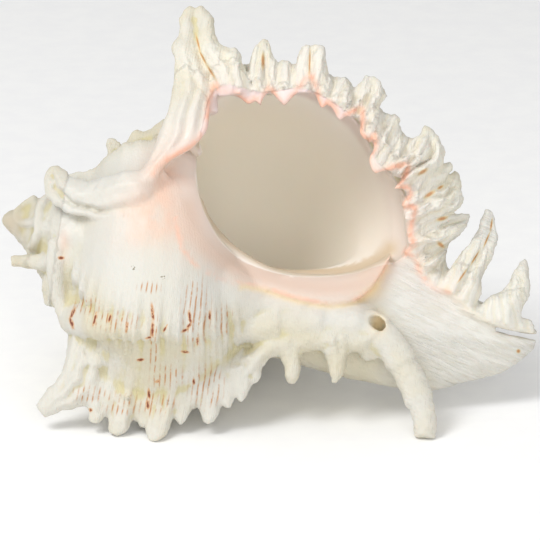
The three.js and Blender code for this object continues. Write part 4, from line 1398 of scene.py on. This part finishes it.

# %% [markdown]
# ## The material
#
# Colour goes on in layers, like washes of paint. First come chalk white and cream in soft
# clouds, then a yellow-green painted shade in the hollows. Next are the glaze and its peach
# patches, the collar and the plate, tan painted shade round the plate, in the old canal's hole
# and in the slit, the whiter frill with painted shade in its pleats' valleys, the whiter canal,
# and the brown. The mouth's own colours cover what lies inside it, with a tan painted shade
# just behind the plate, and the pink crest goes on last.

# %% The colours
# Of these, the hollows' yellow-green, the tan, the pleat valleys' yellow and the tan behind the plate are
# painted shade.
PAINTS = {
    "chalk": (211, 208, 198), "cream": (207, 200, 178), "hollow shade": (205, 196, 156),
    "glaze": (210, 208, 200), "peach": (230, 184, 157), "collar": (234, 215, 204),
    "plate": (217, 192, 175), "tan": (231, 205, 152), "frill": (230, 227, 216),
    "pleat shade": (214, 202, 160), "canal": (230, 228, 221), "streak": (206, 199, 177),
    "slot edge": (216, 190, 126), "slot": (192, 130, 76), "speck": (138, 130, 108),
    "hair": (186, 130, 82), "bar edge": (206, 158, 112), "bar": (128, 66, 44),
    "bowl front": (253, 247, 240), "bowl back": (252, 245, 230), "band": (224, 207, 203),
    "right wall": (232, 223, 210), "ledge shade": (214, 195, 168), "flush": (238, 214, 204),
    "crest": (238, 184, 158),
}
CANAL_SLOPE = math.radians(-24)  # how far the canal's streaks run down to the right
PLEAT_PERIODS = (3.9, 1.27)  # coarse and fine, along the lip
THREADS_SEEN = 0.9  # period of the finest threads, which are bump alone


def coat(tree, colour, mask, name):
    """The colour with one of the paints over it, where the mask is 1."""
    return blend(tree, mask, colour, paint(*PAINTS[name]))


def part_of(tree, name, share):
    """One of the mesh's facts times a share."""
    return times(tree, fact(tree, name), share)


def pleats(tree, picture_vector):
    """A coarse and a fine sine along the lip, whose place wanders with noise."""
    wandering = times(tree, speckle(tree, picture_vector, 0.12, 2), 5.0)
    at = plus(tree, fact(tree, "pleat place"), wandering)
    return [sine(tree, at, period) for period in PLEAT_PERIODS]


def canal_grain(tree, picture_vector):
    """Noise drawn out nine times along the canal's slope."""
    turned = {"Vector": picture_vector, "Rotation": (0, 0, CANAL_SLOPE), "Scale": (9, 1.0, 9)}
    return speckle(tree, add_node(tree, "Mapping", turned, vector_type="TEXTURE"), 0.7, 4, 0.65)


# %% The layers of colour
def outer_colour(tree, spot, picture_vector, pleat, grown):
    """All that is outside the mouth, from the chalk up to the brown marks."""
    cloud = speckle(tree, spot, 38, 4)
    colour = blend(tree, fade(tree, cloud, 0.4, 0.62), paint(*PAINTS["chalk"]), paint(*PAINTS["cream"]))
    ruffle, canal_part = fact(tree, "ruffle"), fact(tree, "canal")
    # Painted shade: a yellow-green tint in hollows and folds, taken from the cavity measure and half as
    # strong on the frill.
    in_hollows = fade(tree, fact(tree, "hollow"), 0.05, 0.6)
    hollow_shade = times(tree, in_hollows, fade(tree, cloud, 0.3, 0.6, 0.45, 1.0))
    colour = coat(tree, colour, times(tree, hollow_shade, fade(tree, ruffle, 0, 1, 1.0, 0.5)), "hollow shade")
    colour = coat(tree, colour, part_of(tree, "glaze", 0.8), "glaze")
    mottled = fade(tree, speckle(tree, spot, 60, 3), 0.3, 0.58, 0.3, 1.0)
    colour = coat(tree, colour, times(tree, part_of(tree, "peach", 0.85), mottled), "peach")
    # The collar and the plate are the glaze's own colours; the tan is painted shade.
    for name, share in (("collar", 0.6), ("plate", 0.9), ("tan", 0.75)):
        colour = coat(tree, colour, part_of(tree, name, share), name)
    colour = coat(tree, colour, times(tree, ruffle, 0.6), "frill")
    # Painted shade in the valleys of the frill's pleats, which are bump alone.
    colour = coat(tree, colour, times(tree, ruffle, fade(tree, pleat, -1.0, 0.0, 0.22, 0.0)), "pleat shade")
    colour = coat(tree, colour, times(tree, canal_part, 0.85), "canal")
    streak = times(tree, fade(tree, grown, 0.42, 0.66), times(tree, canal_part, 0.35))
    colour = coat(tree, colour, streak, "streak")
    bars, slots, specks, hair = brown_marks(tree, picture_vector, fact(tree, "place"))
    colour = coat(tree, colour, fade(tree, slots, 0.02, 0.5, 0, 0.6), "slot edge")
    colour = coat(tree, colour, fade(tree, slots, 0.3, 0.9, 0, 0.85), "slot")
    colour = coat(tree, colour, fade(tree, specks, 0.3, 0.7), "speck")
    colour = coat(tree, colour, times(tree, hair, 0.85), "hair")
    colour = coat(tree, colour, fade(tree, bars, 0.12, 0.55, 0, 0.85), "bar edge")
    return coat(tree, colour, fade(tree, bars, 0.5, 0.95), "bar")


def bowl_colour(tree, picture_vector):
    """The mouth's wall: a little yellower deep inside, mauve behind the crest, duller at the
    right, and a tan painted shade on the strip just behind the plate."""
    across = add_node(tree, "SeparateXYZ", {0: picture_vector}, output=0)
    deep = add_node(tree, "SeparateXYZ", {0: picture_vector}, output=2)
    front, back = paint(*PAINTS["bowl front"]), paint(*PAINTS["bowl back"])
    colour = blend(tree, fade(tree, deep, -8, 26), front, back)
    colour = coat(tree, colour, fade(tree, fact(tree, "band"), 0.1, 0.9), "band")
    colour = coat(tree, colour, fade(tree, across, 22, 38, 0.0, 0.7), "right wall")
    # Painted shade on the mouth's lower wall just behind the plate.
    return coat(tree, colour, fact(tree, "ledge shade"), "ledge shade")


print(len(PAINTS), "paints")

# %% Bump and the whole material
def surface_height(tree, spot, grain, pleat, fine_pleat, grown):
    """Threads, growth lines and two sizes of grain, plus the pleats on the frill and the
    streaks on the canal."""
    place = fact(tree, "place")
    growths = add_node(tree, "CombineXYZ", {0: fact(tree, "turn"), 1: times(tree, place, 0.02)})
    folds = plus(tree, times(tree, pleat, 0.9), times(tree, fine_pleat, 0.13))
    streaks = fade(tree, grown, 0.35, 0.65, -1.0, 1.0)
    height = times(tree, sine(tree, place, THREADS_SEEN), 0.06)
    for layer in (
        times(tree, speckle(tree, growths, 45, 3), 0.9), times(tree, grain, 0.9),
        times(tree, speckle(tree, spot, 150, 4, 0.6), 1.4), times(tree, folds, fact(tree, "ruffle")),
        times(tree, streaks, fact(tree, "canal")),
    ):
        height = plus(tree, height, layer)
    return height


def shell_material():
    """The whole node tree: colour, roughness and bump."""
    material = bpy.data.materials.new("murex")
    material.use_nodes = True
    tree = material.node_tree
    principled = tree.nodes["Principled BSDF"]
    spot = add_node(tree, "TexCoord", output="Object")
    picture_vector = add_node(tree, "Attribute", output="Vector", attribute_name="picture")
    inner, grain = fact(tree, "inside"), speckle(tree, spot, 420, 5, 0.65)
    pleat, fine_pleat = pleats(tree, picture_vector)
    grown = canal_grain(tree, picture_vector)

    colour = outer_colour(tree, spot, picture_vector, pleat, grown)
    colour = coat(tree, colour, part_of(tree, "band", 0.15), "flush")
    colour = blend(tree, fade(tree, inner, 0.2, 0.8), colour, bowl_colour(tree, picture_vector))
    crinkle = fade(tree, speckle(tree, spot, 130, 3), 0.38, 0.6, 0.35, 1.0)
    colour = coat(tree, colour, times(tree, fact(tree, "crest"), crinkle), "crest")
    tree.links.new(colour, principled.inputs["Base Color"])

    smooth_part = most(tree, [inner, part_of(tree, "glaze", 0.6), fact(tree, "collar")])
    rough = plus(tree, fade(tree, smooth_part, 0.1, 0.9, 0.62, 0.3), times(tree, grain, 0.14))
    tree.links.new(rough, principled.inputs["Roughness"])
    height = surface_height(tree, spot, grain, pleat, fine_pleat, grown)
    height = times(tree, height, fade(tree, smooth_part, 0.1, 0.9, 1.0, 0.06))
    bump = add_node(tree, "Bump", {"Height": height, "Strength": 0.6, "Distance": 0.0006})
    tree.links.new(bump, principled.inputs["Normal"])
    principled.inputs["IOR"].default_value = 1.5
    principled.inputs["Subsurface Weight"].default_value = 0.12
    principled.inputs["Subsurface Radius"].default_value = (0.004, 0.0025, 0.0018)
    principled.inputs["Subsurface Scale"].default_value = 1.0
    return material


shell.data.materials.append(shell_material())
print("material:", len(shell.data.materials[0].node_tree.nodes), "nodes")

# %% [markdown]
# ## Floor, light and camera
#
# The photograph is a high-key studio shot: white all round, and light from everywhere, a little
# stronger from the upper left. A pale floor, a white world and two large soft lamps give that.
# The camera stands level with the view in which everything was measured, so it looks down by
# the angle that the shell was leaned back by.

# %% The stage
def pale_floor():
    """A square far larger than the view, in one plain pale finish with a faint grain."""
    corners = np.array([(-3, -3, 0), (3, -3, 0), (3, 3, 0), (-3, 3, 0)], float)
    floor = mesh_object("floor", corners, np.array([[0, 1, 2, 3]]))
    material = bpy.data.materials.new("pale_floor")
    material.use_nodes = True
    tree = material.node_tree
    grain = speckle(tree, add_node(tree, "TexCoord", output="Object"), 90, 3)
    shade = blend(tree, fade(tree, grain, 0.3, 0.7), paint(250, 250, 250), paint(253, 253, 252))
    tree.links.new(shade, tree.nodes["Principled BSDF"].inputs["Base Color"])
    tree.nodes["Principled BSDF"].inputs["Roughness"].default_value = 0.85
    floor.data.materials.append(material)
    return floor


def lamp(name, place, aim, size, watts):
    """A square soft light that points from its place to an aim."""
    data = bpy.data.lights.new(name, "AREA")
    data.size, data.energy = size, watts
    made = bpy.data.objects.new(name, data)
    made.location = place
    made.rotation_euler = (Vector(aim) - Vector(place)).to_track_quat("-Z", "Y").to_euler()
    bpy.context.scene.collection.objects.link(made)
    return made


floor = pale_floor()
key = lamp("key", (-0.55, -0.45, 0.95), (0, 0, 0.05), 0.45, 6.8)
fill = lamp("fill", (0.25, -1.3, 0.5), (0, 0, 0.07), 0.8, 5.4)
world = bpy.data.worlds.new("white room")
world.use_nodes = True
world.node_tree.nodes["Background"].inputs["Color"].default_value = (1, 1, 1, 1)
world.node_tree.nodes["Background"].inputs["Strength"].default_value = 0.6
bpy.context.scene.world = world
bpy.context.scene.view_settings.view_transform = "Standard"
print("lamps:", key.data.energy, "W and", fill.data.energy, "W")

# %% The camera
CAMERA_DISTANCE, FRAME_WIDTH = 1500.0, 180.0  # mm
camera_data = bpy.data.cameras.new("camera")
camera_data.sensor_width = 36
camera_data.lens = 36 * CAMERA_DISTANCE / FRAME_WIDTH
camera_data.clip_end = 20
camera = bpy.data.objects.new("camera", camera_data)
middle_up = (PHOTO_FLOOR - PHOTO_CENTRE) / PIXELS_PER_MM
camera.location = stand(np.array([[0, -CAMERA_DISTANCE, middle_up]]))[0]
camera.rotation_euler = (math.pi / 2 - VIEW_LEAN, 0, 0)
bpy.context.scene.collection.objects.link(camera)
bpy.context.scene.camera = camera
print("lens:", camera_data.lens, "mm")
